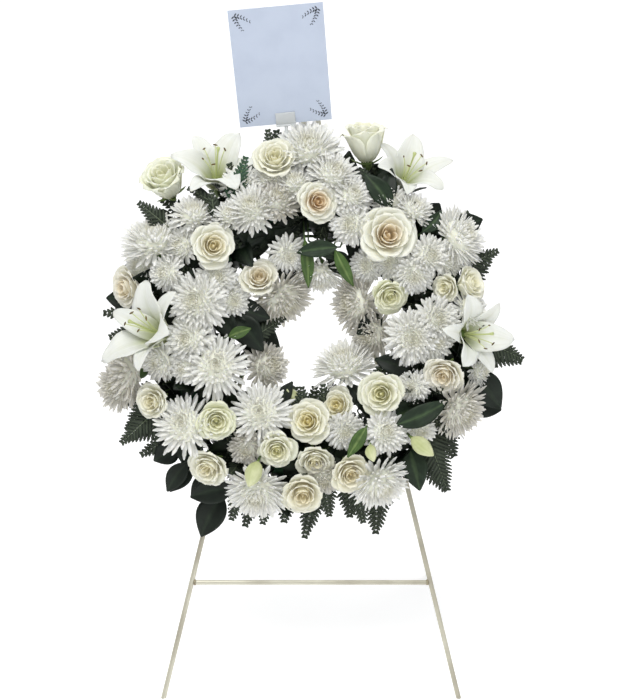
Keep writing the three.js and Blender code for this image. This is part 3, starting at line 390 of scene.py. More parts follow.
def settle(spot: BloomSpot, kind: Kind, index: int) -> Settled:
    """Put a bloom on the cushion in the way that the solids do.

    Args:
        spot: The bloom's row of the layout.
        kind: What it is.
        index: Its number, which sets its spin.

    Returns:
        The settled bloom.
    """
    off = (math.hypot(spot.right, spot.up) - RING.radius) / RING.cushion_reach
    lean = math.asin(max(-RING.widest_lean, min(RING.widest_lean, off)))
    forward = RING.cushion_depth + RING.cushion_rise * math.cos(lean) + spot.lift
    turn, bearing = math.radians(spot.tilt), math.radians(spot.toward)
    out = math.sin(turn)
    direction = np.array((out * math.cos(bearing), out * math.sin(bearing), math.cos(turn)))
    centre = np.array((spot.right, spot.up, forward)) * MM
    radius = spot.diameter / 2 * FULLNESS[kind] * MM
    return Settled(kind, centre, direction, radius, index * RING.spin_step, spot.look)


def core_point(place: np.ndarray) -> np.ndarray:
    """The nearest point of the foam's core to a place in the ring's frame."""
    angle = math.atan2(place[1], place[0])
    return np.array((math.cos(angle) * RING.radius, math.sin(angle) * RING.radius, RING.core_depth)) * MM


def stand_shift() -> Vector:
    """Where the point under the apex lies, read from the welded head's solid."""
    low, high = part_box("apex_collar")
    return Vector(((low.x + high.x) / 2, (low.y + high.y) / 2, 0))


def leg_plane(lean: float) -> Matrix:
    """Frame of a pair of legs, with its origin at the apex and Y up the slope."""
    apex = stand_shift() + Vector((0, 0, STAND.apex_height * MM))
    return Matrix.Translation(apex) @ Matrix.Rotation(math.pi / 2 - lean, 4, "X")


def ring_frame() -> Matrix:
    """Frame of the ring: X right, Y up its slope, Z out of its face."""
    offset = Vector((0, -RING.drop, STAND.rod_radius + STAND.gap)) * MM
    return leg_plane(STAND.lean) @ Matrix.Translation(offset)


# Meshes


def in_scene(name: str, data: bpy.types.ID) -> bpy.types.Object:
    """Put a mesh, camera or lamp in the scene as an object."""
    thing = bpy.data.objects.new(name, data)
    bpy.context.scene.collection.objects.link(thing)
    return thing


@dataclass
class Tufts:
    """Closed thin forms that are collected into one mesh, with a tint and a vein place at each point."""

    points: list[np.ndarray] = field(default_factory=list)
    tints: list[np.ndarray] = field(default_factory=list)
    veins: list[np.ndarray] = field(default_factory=list)
    faces: list[tuple[int, ...]] = field(default_factory=list)
    marks: list[int] = field(default_factory=list)
    count: int = 0

    def add_rings(self, rings: np.ndarray, tint: np.ndarray, vein: np.ndarray, mark: int = 0) -> None:
        """Add closed forms skinned over rings of points, with flat ends.

        Args:
            rings: Points as (forms, rings, points, 3), each ring anticlockwise seen from its far end.
            tint: Colours, spread over (forms, rings, points, 3).
            vein: Vein places (across, along, form), spread over the same shape.
            mark: Material number of the faces.
        """
        forms, rows, round_count, _ = rings.shape
        self.points.append(rings.reshape(-1, 3))
        self.tints.append(np.broadcast_to(tint, rings.shape).reshape(-1, 3))
        self.veins.append(np.broadcast_to(vein, rings.shape).reshape(-1, 3))
        base = np.arange(forms)[:, None, None] * rows * round_count + self.count
        row = np.arange(rows - 1)[None, :, None] * round_count
        here = np.arange(round_count)[None, None, :]
        there = (here + 1) % round_count
        above = base + row + round_count
        quads = np.stack([base + row + here, base + row + there, above + there, above + here], axis=-1)
        quads = quads.reshape(-1, 4)
        self.faces.extend(map(tuple, quads.tolist()))
        first = base[:, :, 0]
        last = first + (rows - 1) * round_count
        self.faces.extend(map(tuple, (first + np.arange(round_count)[::-1]).tolist()))
        self.faces.extend(map(tuple, (last + np.arange(round_count)).tolist()))
        self.marks.extend([mark] * (len(quads) + 2 * forms))
        self.count += forms * rows * round_count

    def add_sheets(
        self, grid: np.ndarray, thickness: float, tint: np.ndarray, vein: np.ndarray, mark: int = 0
    ) -> None:
        """Add thin sheets with two faces and a rim.

        Args:
            grid: Points as (sheets, rows, columns, 3).
            thickness: Thickness of each sheet in metres.
            tint: Colours, spread over the grid's shape.
            vein: Vein places, spread over the grid's shape.
            mark: Material number of the faces.
        """
        along = np.gradient(grid, axis=1)
        across = np.gradient(grid, axis=2)
        normal = np.cross(across, along)
        length = np.linalg.norm(normal, axis=-1, keepdims=True)
        normal = normal / np.maximum(length, TINY) * thickness / 2
        tint = np.broadcast_to(tint, grid.shape)
        vein = np.broadcast_to(vein, grid.shape)
        rings = np.concatenate([(grid + normal)[:, :, ::-1], grid - normal], axis=2)
        self.add_rings(rings, np.concatenate([tint[:, :, ::-1], tint], axis=2),
                       np.concatenate([vein[:, :, ::-1], vein], axis=2), mark)

    def add_tube(self, path: np.ndarray, radii: np.ndarray, tint: Colour, sides: int = 8, mark: int = 0) -> None:
        """Add a round stem along a path.

        Args:
            path: Points as (rows, 3).
            radii: Radius at each point.
            tint: Its colour.
            sides: Number of sides.
            mark: Material number of the faces.
        """
        rings = tube_rings(path, radii, sides)[None]
        share = np.linspace(0, 1, len(path))[:, None]
        vein = np.stack(np.broadcast_arrays(0.5 * np.ones((1, 1)), share, np.zeros((1, 1))), axis=-1)[None]
        self.add_rings(rings, np.array(tint), vein, mark)

    def build(self, name: str, materials: Sequence[bpy.types.Material], frame_of: Matrix) -> bpy.types.Object:
        """Make the mesh object, smooth shaded, and put it in the scene.

        Args:
            name: The piece's name.
            materials: Its materials, by mark.
            frame_of: The frame that its points are in.

        Returns:
            The object, with its place in its mesh.
        """
        mesh = bpy.data.meshes.new(name)
        mesh.from_pydata(np.concatenate(self.points).tolist(), [], self.faces)
        for material in materials:
            mesh.materials.append(material)
        mesh.polygons.foreach_set("material_index", self.marks)
        mesh.polygons.foreach_set("use_smooth", [True] * len(self.faces))
        tint = mesh.attributes.new("tint", "FLOAT_COLOR", "POINT")
        colours = np.ones((self.count, 4), np.float32)
        colours[:, :3] = np.concatenate(self.tints)
        tint.data.foreach_set("color", colours.ravel())
        vein = mesh.attributes.new("vein", "FLOAT_VECTOR", "POINT")
        vein.data.foreach_set("vector", np.concatenate(self.veins).astype(np.float32).ravel())
        mesh.transform(frame_of)
        mesh.update()
        return in_scene(name, mesh)


def tube_rings(path: np.ndarray, radii: np.ndarray, sides: int) -> np.ndarray:
    """Rings of points round a path, turned as little as can be from one to the next.

    Args:
        path: Points as (rows, 3).
        radii: Radius at each point.
        sides: Points in a ring.

    Returns:
        Points as (rows, sides, 3).
    """
    tangent = np.gradient(path, axis=0)
    tangent /= np.linalg.norm(tangent, axis=1, keepdims=True)
    steep = abs(tangent[0][2]) >= STEEPEST
    guide = np.array((1.0, 0.0, 0.0) if steep else (0.0, 0.0, 1.0))
    side = np.cross(guide, tangent[0])
    rings = []
    angles = np.linspace(0, 2 * math.pi, sides, endpoint=False)[:, None]
    for place, ahead, radius in zip(path, tangent, radii):
        side = side - ahead * side.dot(ahead)
        side /= np.linalg.norm(side)
        other = np.cross(ahead, side)
        rings.append(place + radius * (np.cos(angles) * side + np.sin(angles) * other))
    return np.array(rings)


def bezier(start: np.ndarray, bend: np.ndarray, end: np.ndarray, count: int) -> np.ndarray:
    """Points of a plain curve with one bend."""
    share = np.linspace(0, 1, count)[:, None]
    return (1 - share) ** 2 * start + 2 * share * (1 - share) * bend + share**2 * end


def about_axis(points: np.ndarray, angles: np.ndarray) -> np.ndarray:
    """Turn each form of (forms, ..., 3) about +Z by its own angle."""
    shape = (-1,) + (1,) * (points.ndim - 2)
    cosine, sine = np.cos(angles).reshape(shape), np.sin(angles).reshape(shape)
    x, y, z = points[..., 0], points[..., 1], points[..., 2]
    return np.stack([cosine * x - sine * y, sine * x + cosine * y, np.broadcast_to(z, x.shape)], axis=-1)


def petal_grid(
    along: np.ndarray, lean: np.ndarray, length: np.ndarray, start: np.ndarray, half: np.ndarray, hug: np.ndarray,
    columns: int,
) -> np.ndarray:
    """Petals that rise from near the axis, lean out along their length and hug the axis across it.

    Args:
        along: Share of the length at each row.
        lean: Lean from +Z at each row, (petals, rows).
        length: Length of each petal.
        start: Foot of each petal as (out, up).
        half: Half width at each row, (petals, rows).
        hug: Radius that the petal bends round at each row, (petals, rows).
        columns: Points across.

    Returns:
        Points as (petals, rows, columns, 3), each petal standing on the +X side.
    """
    middle = (lean[:, 1:] + lean[:, :-1]) / 2
    step = length[:, None] * np.diff(along)
    zero = np.zeros((len(length), 1))
    out = start[:, :1] + np.concatenate([zero, np.cumsum(np.sin(middle) * step, axis=1)], axis=1)
    rise = start[:, 1:] + np.concatenate([zero, np.cumsum(np.cos(middle) * step, axis=1)], axis=1)
    across = np.linspace(-1, 1, columns)
    angle = half[..., None] * across / hug[..., None]
    side = np.sin(angle) * hug[..., None]
    inward = (1 - np.cos(angle)) * hug[..., None]
    x = out[..., None] - np.cos(lean)[..., None] * inward
    z = rise[..., None] + np.sin(lean)[..., None] * inward
    return np.stack([x, side, z], axis=-1)


def on_axis(heights: np.ndarray) -> np.ndarray:
    """Points on the Z axis at the given heights."""
    return np.stack([np.zeros(len(heights)), np.zeros(len(heights)), heights], axis=1)


def vein_places(forms: int, rows: int, columns: int, seeds: np.ndarray) -> np.ndarray:
    """Vein places of a set of grids: across, along and a number for each form."""
    across = np.broadcast_to(np.linspace(-1, 1, columns), (forms, rows, columns))
    along = np.broadcast_to(np.linspace(0, 1, rows)[:, None], (forms, rows, columns))
    each = np.broadcast_to(seeds[:, None, None], (forms, rows, columns))
    return np.stack([across, along, each], axis=-1)


def mixed(first: Colour, second: Colour, share: np.ndarray) -> np.ndarray:
    """Colours between two, by share, with the colour as a last axis."""
    share = np.clip(share, 0, 1)[..., None]
    return np.array(first) * (1 - share) + np.array(second) * share


# Finishes


class Shader:
    """Adds and joins the nodes of one tree."""

    def __init__(self, tree: bpy.types.NodeTree) -> None:
        """Start on an empty tree."""
        self.tree = tree
        tree.nodes.clear()

    def add(self, kind: str, **settings: object) -> bpy.types.Node:
        """Add a node, set its options and its inputs by name.

        Args:
            kind: The node's type, without its leading word.
            settings: Options of the node; a key that starts with in_ names an input.

        Returns:
            The node.
        """
        node = self.tree.nodes.new(kind)
        for key, value in settings.items():
            if key.startswith("in_"):
                node.inputs[key[3:].replace("_", " ")].default_value = value
            else:
                setattr(node, key, value)
        return node

    def join(self, out: bpy.types.NodeSocket, into: bpy.types.NodeSocket) -> None:
        """Join two sockets."""
        self.tree.links.new(out, into)

    def ramp(self, source: bpy.types.NodeSocket, low: float, high: float) -> bpy.types.NodeSocket:
        """Stretch a value so that low gives 0 and high gives 1."""
        node = self.add("ShaderNodeMapRange", clamp=True)
        node.inputs["From Min"].default_value = low
        node.inputs["From Max"].default_value = high
        self.join(source, node.inputs["Value"])
        return node.outputs["Result"]

    def maths(self, operation: str, first: object, second: object) -> bpy.types.NodeSocket:
        """The result of a sum on two sockets or numbers."""
        node = self.add("ShaderNodeMath", operation=operation)
        for socket, value in zip(node.inputs, (first, second)):
            if isinstance(value, (int, float)):
                socket.default_value = value
            else:
                self.join(value, socket)
        return node.outputs[0]

    def mix(self, share: object, first: object, second: object, mode: str = "MIX") -> bpy.types.NodeSocket:
        """A colour between two, by a share."""
        node = self.add("ShaderNodeMix", data_type="RGBA", blend_type=mode)
        for socket, value in ((node.inputs[0], share), (node.inputs[6], first), (node.inputs[7], second)):
            if isinstance(value, (int, float)):
                socket.default_value = value
            elif isinstance(value, tuple):
                socket.default_value = (*value, 1)
            else:
                self.join(value, socket)
        return node.outputs[2]


def new_group(name: str, inputs: dict[str, tuple[str, object]], outputs: dict[str, str]) -> tuple[
    bpy.types.NodeTree, Shader, bpy.types.Node, bpy.types.Node
]:
    """Start a shader group with named sockets.

    Args:
        name: The group's name.
        inputs: Socket kind and first value, by name.
        outputs: Socket kind, by name.

    Returns:
        The group, its shader, its input node and its output node.
    """
    tree = bpy.data.node_groups.new(name, "ShaderNodeTree")
    for label, (kind, value) in inputs.items():
        socket = tree.interface.new_socket(label, in_out="INPUT", socket_type=kind)
        socket.default_value = value
    for label, kind in outputs.items():
        tree.interface.new_socket(label, in_out="OUTPUT", socket_type=kind)
    shader = Shader(tree)
    return tree, shader, shader.add("NodeGroupInput"), shader.add("NodeGroupOutput")


class Effects:
    """Shader groups that several finishes share, each made once."""

    STREAKS_ALONG = 1.4
    FORM_APART = 31.0
    BLOTCH_SCALE = 70.0
    STREAK_RANGE = (0.32, 0.68)
    BLOTCH_RANGE = (0.35, 0.65)
    CLOUD_RANGE = (0.4, 0.7)

    def __init__(self) -> None:
        """Make the groups."""
        self.plant = self.plant_group()
        self.speckle = self.speckle_group()

    def plant_group(self) -> bpy.types.NodeTree:
        """Streaks along a petal or leaf and soft blotches over it, on the tint that its points carry."""
        tree, shader, given, made = new_group(
            "plant_surface",
            {
                "Streak": ("NodeSocketFloat", 0.1),
                "Blotch": ("NodeSocketFloat", 0.1),
                "Streaks Across": ("NodeSocketFloat", 12.0),
                "Shade": ("NodeSocketColor", (0.8, 0.8, 0.8, 1)),
            },
            {"Color": "NodeSocketColor", "Height": "NodeSocketFloat"},
        )
        tint = shader.add("ShaderNodeAttribute", attribute_name="tint")
        vein = shader.add("ShaderNodeAttribute", attribute_name="vein")
        scale = shader.add("ShaderNodeCombineXYZ", in_Y=self.STREAKS_ALONG, in_Z=self.FORM_APART)
        shader.join(given.outputs["Streaks Across"], scale.inputs["X"])
        stretched = shader.add("ShaderNodeVectorMath", operation="MULTIPLY")
        shader.join(vein.outputs["Vector"], stretched.inputs[0])
        shader.join(scale.outputs[0], stretched.inputs[1])
        streak = shader.add("ShaderNodeTexNoise", in_Scale=1.0, in_Detail=3.0)
        shader.join(stretched.outputs[0], streak.inputs["Vector"])
        streaks = shader.ramp(streak.outputs["Fac"], *self.STREAK_RANGE)
        place = shader.add("ShaderNodeTexCoord")
        blotch = shader.add("ShaderNodeTexNoise", in_Scale=self.BLOTCH_SCALE, in_Detail=2.0)
        shader.join(place.outputs["Object"], blotch.inputs["Vector"])
        blotches = shader.ramp(blotch.outputs["Fac"], *self.BLOTCH_RANGE)
        streaked = shader.mix(
            shader.maths("MULTIPLY", streaks, given.outputs["Streak"]),
            tint.outputs["Color"],
            shader.mix(1.0, tint.outputs["Color"], given.outputs["Shade"], "MULTIPLY"),
        )
        colour = shader.mix(
            shader.maths("MULTIPLY", blotches, given.outputs["Blotch"]),
            streaked,
            shader.mix(1.0, streaked, given.outputs["Shade"], "MULTIPLY"),
        )
        shader.join(colour, made.inputs["Color"])
        shader.join(streaks, made.inputs["Height"])
        return tree

    def speckle_group(self) -> bpy.types.NodeTree:
        """Fine grain and broad cloud over a hard surface; the cloud mixes in a second colour, which is real dust
        on most finishes and a painted reflection on the rods.
        """
        tree, shader, given, made = new_group(
            "speckle",
            {
                "Color": ("NodeSocketColor", (0.5, 0.5, 0.5, 1)),
                "Dust And Reflection": ("NodeSocketColor", (0.3, 0.3, 0.3, 1)),
                "Amount": ("NodeSocketFloat", 0.3),
                "Fine Scale": ("NodeSocketFloat", 900.0),
                "Broad Scale": ("NodeSocketFloat", 20.0),
            },
            {"Color": "NodeSocketColor", "Height": "NodeSocketFloat", "Cloud": "NodeSocketFloat"},
        )
        place = shader.add("ShaderNodeTexCoord")
        fine = shader.add("ShaderNodeTexNoise", in_Detail=2.0)
        broad = shader.add("ShaderNodeTexNoise", in_Detail=4.0)
        for texture, label in ((fine, "Fine Scale"), (broad, "Broad Scale")):
            shader.join(place.outputs["Object"], texture.inputs["Vector"])
            shader.join(given.outputs[label], texture.inputs["Scale"])
        cloud = shader.ramp(broad.outputs["Fac"], *self.CLOUD_RANGE)
        share = shader.maths("MULTIPLY", cloud, given.outputs["Amount"])
        shader.join(shader.mix(share, given.outputs["Color"], given.outputs["Dust And Reflection"]), made.inputs["Color"])
        shader.join(fine.outputs["Fac"], made.inputs["Height"])
        shader.join(cloud, made.inputs["Cloud"])
        return tree


@dataclass(frozen=True)
class PlantFinish:
    """Finish of petals, leaves and stems: the tint comes from the mesh."""

    name: str
    roughness: float
    streak: float
    blotch: float
    across: float
    shade: Colour
    bump: float
    sheen: float = 0.0
    translucent: float = 0.0
    # Emission in the petal's own colour: painted light that lifts the shade deep between the petals.
    painted_light_glow: float = 0.0
    specular: float = 0.3
    scatter: Colour = (1.0, 0.9, 0.7)
    scatter_depth: float = 0.004
    bump_depth: float = 0.0004

    def material(self, effects: Effects) -> bpy.types.Material:
        """Make the material."""
        material = bpy.data.materials.new(self.name)
        material.use_nodes = True
        shader = Shader(material.node_tree)
        out = shader.add("ShaderNodeOutputMaterial")
        surface = shader.add("ShaderNodeBsdfPrincipled", in_Roughness=self.roughness)
        surface.inputs["Sheen Weight"].default_value = self.sheen
        surface.inputs["Specular IOR Level"].default_value = self.specular
        surface.inputs["Subsurface Weight"].default_value = self.translucent
        surface.inputs["Subsurface Radius"].default_value = self.scatter
        surface.inputs["Subsurface Scale"].default_value = self.scatter_depth
        group = shader.add("ShaderNodeGroup", node_tree=effects.plant)
        group.inputs["Streak"].default_value = self.streak
        group.inputs["Blotch"].default_value = self.blotch
        group.inputs["Streaks Across"].default_value = self.across
        group.inputs["Shade"].default_value = (*self.shade, 1)
        shader.join(group.outputs["Color"], surface.inputs["Base Color"])
        # The petals glow faintly in their own colour: painted light, not a lamp, that brightens the shade between
        # them.
        shader.join(group.outputs["Color"], surface.inputs["Emission Color"])
        surface.inputs["Emission Strength"].default_value = self.painted_light_glow
        bump = shader.add("ShaderNodeBump", in_Strength=self.bump, in_Distance=self.bump_depth)
        shader.join(group.outputs["Height"], bump.inputs["Height"])
        shader.join(bump.outputs["Normal"], surface.inputs["Normal"])
        shader.join(surface.outputs[0], out.inputs["Surface"])
        return material


@dataclass(frozen=True)
class HardFinish:
    """Finish of metal, plastic, foam or card."""

    name: str
    colour: Colour
    # Second colour of the broad cloud: real dust or tone on most finishes, a painted reflection on the rods.
    dust_and_reflection: Colour
    amount: float
    roughness: float
    metallic: float = 0.0
    bump: float = 0.1
    bump_depth: float = 0.0002
    fine_scale: float = 900.0
    broad_scale: float = 20.0
    coat: float = 0.0
    clear: float = 0.0
    cloud_roughness: float = 0.15

    def material(self, effects: Effects) -> bpy.types.Material:
        """Make the material."""
        material = bpy.data.materials.new(self.name)
        material.use_nodes = True
        shader = Shader(material.node_tree)
        out = shader.add("ShaderNodeOutputMaterial")
        surface = shader.add("ShaderNodeBsdfPrincipled", in_Metallic=self.metallic)
        surface.inputs["Coat Weight"].default_value = self.coat
        surface.inputs["Transmission Weight"].default_value = self.clear
        group = shader.add("ShaderNodeGroup", node_tree=effects.speckle)
        group.inputs["Color"].default_value = (*self.colour, 1)
        group.inputs["Dust And Reflection"].default_value = (*self.dust_and_reflection, 1)
        group.inputs["Amount"].default_value = self.amount
        group.inputs["Fine Scale"].default_value = self.fine_scale
        group.inputs["Broad Scale"].default_value = self.broad_scale
        shader.join(group.outputs["Color"], surface.inputs["Base Color"])
        clouded = shader.maths("MULTIPLY", group.outputs["Cloud"], self.cloud_roughness)
        shader.join(shader.maths("ADD", clouded, self.roughness), surface.inputs["Roughness"])
        bump = shader.add("ShaderNodeBump", in_Strength=self.bump, in_Distance=self.bump_depth)
        shader.join(group.outputs["Height"], bump.inputs["Height"])
        shader.join(bump.outputs["Normal"], surface.inputs["Normal"])
        shader.join(surface.outputs[0], out.inputs["Surface"])
        return material


class Palette:
    """Every material of the wreath."""

    def __init__(self) -> None:
        """Make the materials."""
        effects = Effects()
        dusk = rgb(222, 222, 212)
        cream = rgb(232, 229, 210)
        # Roses, mums and lilies glow faintly: painted light that lifts the shade between their petals.
        self.rose = PlantFinish("rose_petal", 0.6, 0.08, 0.2, 5, cream, 0.12, 0.1, 0.35, 0.04).material(effects)
        self.mum = PlantFinish("mum_petal", 0.6, 0.14, 0.12, 4, dusk, 0.15, 0.05, 0.4, 0.06).material(effects)
        self.lily = PlantFinish("lily_petal", 0.55, 0.25, 0.15, 9, dusk, 0.25, 0.05, 0.2, 0.04).material(effects)
        self.bud = PlantFinish("bud_skin", 0.55, 0.3, 0.3, 8, rgb(190, 200, 150), 0.2, 0.05,
                               0.1).material(effects)
        self.anther = PlantFinish("anther_pollen", 0.9, 0.3, 0.6, 6, rgb(120, 84, 60), 0.6).material(effects)
        self.leaf = PlantFinish("leaf_skin", 0.48, 0.35, 0.5, 7, rgb(150, 160, 140), 0.3).material(effects)
        self.fern = PlantFinish("fern_skin", 0.55, 0.3, 0.5, 5, rgb(150, 160, 140), 0.3).material(effects)
        self.stem = PlantFinish("stem_skin", 0.6, 0.3, 0.4, 5, rgb(150, 160, 120), 0.3).material(effects)
        # The rods' brownish clouds are a painted reflection of the brown surroundings in the shiny metal.
        self.rod = HardFinish("champagne_rod", rgb(206, 203, 186), rgb(150, 142, 124), 0.7, 0.38, 0.35, 0.12,
                              broad_scale=14.0).material(effects)
        self.weld = HardFinish("weld_bead", rgb(170, 162, 138), rgb(104, 92, 76), 0.8, 0.5, 0.5, 0.6,
                               bump_depth=0.0006, fine_scale=500.0, broad_scale=120.0).material(effects)
        self.tray = HardFinish("moulded_tray", rgb(34, 44, 38), rgb(70, 76, 66), 0.35, 0.5,
                               bump=0.25).material(effects)
        self.foam = HardFinish("flower_foam", rgb(40, 84, 54), rgb(22, 52, 34), 0.8, 0.9, bump=0.9,
                               bump_depth=0.001, fine_scale=1400.0, broad_scale=160.0).material(effects)
        self.card = HardFinish("card_stock", rgb(192, 202, 220), rgb(184, 194, 213), 0.5, 0.55, bump=0.06,
                               fine_scale=2600.0, broad_scale=30.0).material(effects)
        self.ink = HardFinish("border_ink", rgb(58, 64, 74), rgb(96, 102, 114), 0.6, 0.6,
                              bump=0.05).material(effects)
        self.clear = HardFinish("clear_plastic", rgb(236, 240, 242), rgb(220, 226, 230), 0.2, 0.08, bump=0.04,
                                clear=0.4).material(effects)


def dress(piece: bpy.types.Object, slot: str, *nodes: str) -> bpy.types.Object:
    """Tie a piece to the frame: its body and the nodes that it stands for."""
    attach(piece, BODY)
    if nodes:
        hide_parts(*nodes)
    LOG.info("piece %s: %d faces", piece.name, len(piece.data.polygons))
    return piece


# Blooms


@dataclass(frozen=True)
class RoseLook:
    """Colours of a rose from its heart to its outer petals, and how far it has opened."""

    heart: Colour
    body: Colour = rgb(243, 243, 230)
    guard: Colour = rgb(238, 238, 222)
    opened: float = 0.85
    heart_reach: float = 0.42
    tall: float = 1.0


ROSE_LOOKS = {
    "peach": RoseLook(rgb(238, 212, 172)),
    "orange": RoseLook(rgb(232, 196, 146), heart_reach=0.5),
    "ochre": RoseLook(rgb(238, 224, 180), heart_reach=0.48),
    "brown": RoseLook(rgb(222, 202, 164), rgb(242, 240, 226), opened=0.6),
    "butter": RoseLook(rgb(240, 236, 202), rgb(246, 245, 228), opened=0.6),
    "sepal": RoseLook(rgb(240, 238, 204), rgb(246, 247, 232), rgb(240, 243, 220), 0.15, tall=1.45),
    "cup": RoseLook(rgb(238, 238, 204), rgb(243, 245, 226), rgb(238, 240, 216), 0.25, tall=1.25),
    "green": RoseLook(rgb(232, 230, 186), rgb(241, 242, 218), rgb(230, 234, 202), 0.55),
    "blush": RoseLook(rgb(232, 214, 178), rgb(240, 237, 224), opened=0.7),
    "lime": RoseLook(rgb(226, 222, 166), rgb(243, 243, 226), rgb(237, 239, 216)),
    "yolk": RoseLook(rgb(238, 224, 162), rgb(244, 243, 226)),
    "tan": RoseLook(rgb(228, 214, 174), rgb(238, 235, 216), opened=0.7),
    "cream": RoseLook(rgb(236, 228, 192), rgb(241, 240, 224), opened=0.6),
}


@dataclass
class RoseHead:
    """A rose in shares of its radius, facing +Z: a tight spiral heart inside wide cupped petals."""

    petals: int = 19
    small_petals: int = 15
    small_radius: float = 0.03
    rows: int = 9
    columns: int = 9
    thickness: float = 0.016
    foot: float = -0.62
    splay: tuple[float, float] = (22, 40)
    wall: tuple[float, float] = (4, 24)
    roll: tuple[float, float, float] = (4, 30, 30)
    width: tuple[float, float] = (0.26, 0.46)
    widest_at: float = 0.6
    curl: float = 0.12
    wave: float = 0.02
    core: tuple[float, ...] = (0.06, 0.12, 0.13, 0.11, 0.085, 0.06, 0.035, 0.01)
    core_span: tuple[float, float] = (-0.4, 0.28)
    sepals: int = 5
    sepal_length: float = 0.62

    def build(self, bloom: Settled, tufts: Tufts, random: np.random.Generator) -> None:
        """Add one rose's petals to a mesh.

        Args:
            bloom: Its place, radius and look.
            tufts: The mesh that takes the petals.
            random: Source of small differences.
        """
        look = ROSE_LOOKS[bloom.look]
        count = self.petals if bloom.radius > self.small_radius else self.small_petals
        layer = np.linspace(0, 1, count)[:, None]
        along = 1 - (1 - np.linspace(0, 1, self.rows)) ** 1.35
        wander = random.normal(0, 1, (count, 5))
        spread = (self.splay[0] + self.splay[1] * layer**0.7) * (1 - along) ** 2
        wall = 1 + (self.wall[0] + self.wall[1] * look.opened) * layer**1.5 + 3 * wander[:, :1] * layer
        outer = np.clip(layer * 1.5 - 0.3, 0, 1)
        roll = (self.roll[0] + (self.roll[1] + self.roll[2] * look.opened) * outer) * along**4
        lean = np.radians(spread + wall + roll)
        length = (1.0 + 0.22 * layer**0.5 - (0.1 + 0.06 * look.opened) * layer)[:, 0] + 0.03 * wander[:, 1]
        start = np.concatenate([0.03 + 0.1 * layer, self.foot + 0.08 * layer], axis=1)
        widest = self.widest_at
        outline = np.where(along < widest, 0.46 + 0.54 * np.sin(along / widest * math.pi / 2),
                           np.sqrt(np.clip(1 - ((along - widest) / 0.41) ** 2, 0.02, 1)))
        half = (self.width[0] + self.width[1] * layer**0.8 + 0.02 * wander[:, 2:3]) * outline
        hug = (0.12 + 0.62 * layer**0.9) * (1 + 0.5 * layer * along**3)
        grid = petal_grid(along, lean, length, start, half, hug, self.columns)
        across = np.linspace(-1, 1, self.columns)[None, None, :]
        rise = along[None, :, None]
        curl = self.curl * layer[..., None] * np.abs(across) ** 3 * rise**2
        wave = self.wave * layer[..., None] * np.sin(across * 5 + wander[:, 3][:, None, None] * 3) * rise**3
        grid[..., 0] += np.cos(lean)[..., None] * (curl + wave)
        grid[..., 2] -= np.sin(lean)[..., None] * (curl + wave)
        turns = np.arange(count) * GOLDEN_TURN + 0.15 * wander[:, 4]
        points = about_axis(grid, turns)
        reach = np.hypot(points[..., 0], points[..., 1])
        points = points * (1 / reach.max())
        points[..., 2] = self.foot + (points[..., 2] - self.foot) * look.tall
        reach = reach / reach.max()
        share = np.clip(1.25 - reach / look.heart_reach, 0, 1) * (1 - 0.25 * rise)
        deep = 0.35 * np.clip(1 - rise * 1.6, 0, 1)
        tint = mixed(look.body, look.heart, np.maximum(share, deep))
        guard = (np.clip(layer * 3 - 2, 0, 1)[..., None] * (1 - 0.5 * rise))[..., None]
        tint = tint * (1 - guard) + np.array(look.guard) * guard
        veins = vein_places(count, self.rows, self.columns, np.arange(count) * 0.37 + bloom.spin)
        tufts.add_sheets(bloom.place(points * bloom.radius), self.thickness * bloom.radius, tint, veins)
        core = on_axis(np.linspace(*self.core_span, len(self.core))) * bloom.radius
        radii = np.array(self.core) * bloom.radius
        tufts.add_tube(bloom.place(core), radii, tuple(np.add(look.heart, look.body) / 2), 12)

    def calyx(self, bloom: Settled, tufts: Tufts) -> None:
        """Add the green cup and sepals under a rose."""
        calyx_cup(bloom, tufts, self.foot, 0.24, rgb(112, 132, 78))
        sepals(bloom, tufts, self.foot + 0.02, self.sepals, self.sepal_length, rgb(122, 142, 84))


WHITE_PETAL = rgb(251, 251, 246)
# A darker, greyer copy of the white petal, for mums that sit in shade or face away from the light: painted shade.
PAINTED_SHADE_PETAL = rgb(218, 215, 206)


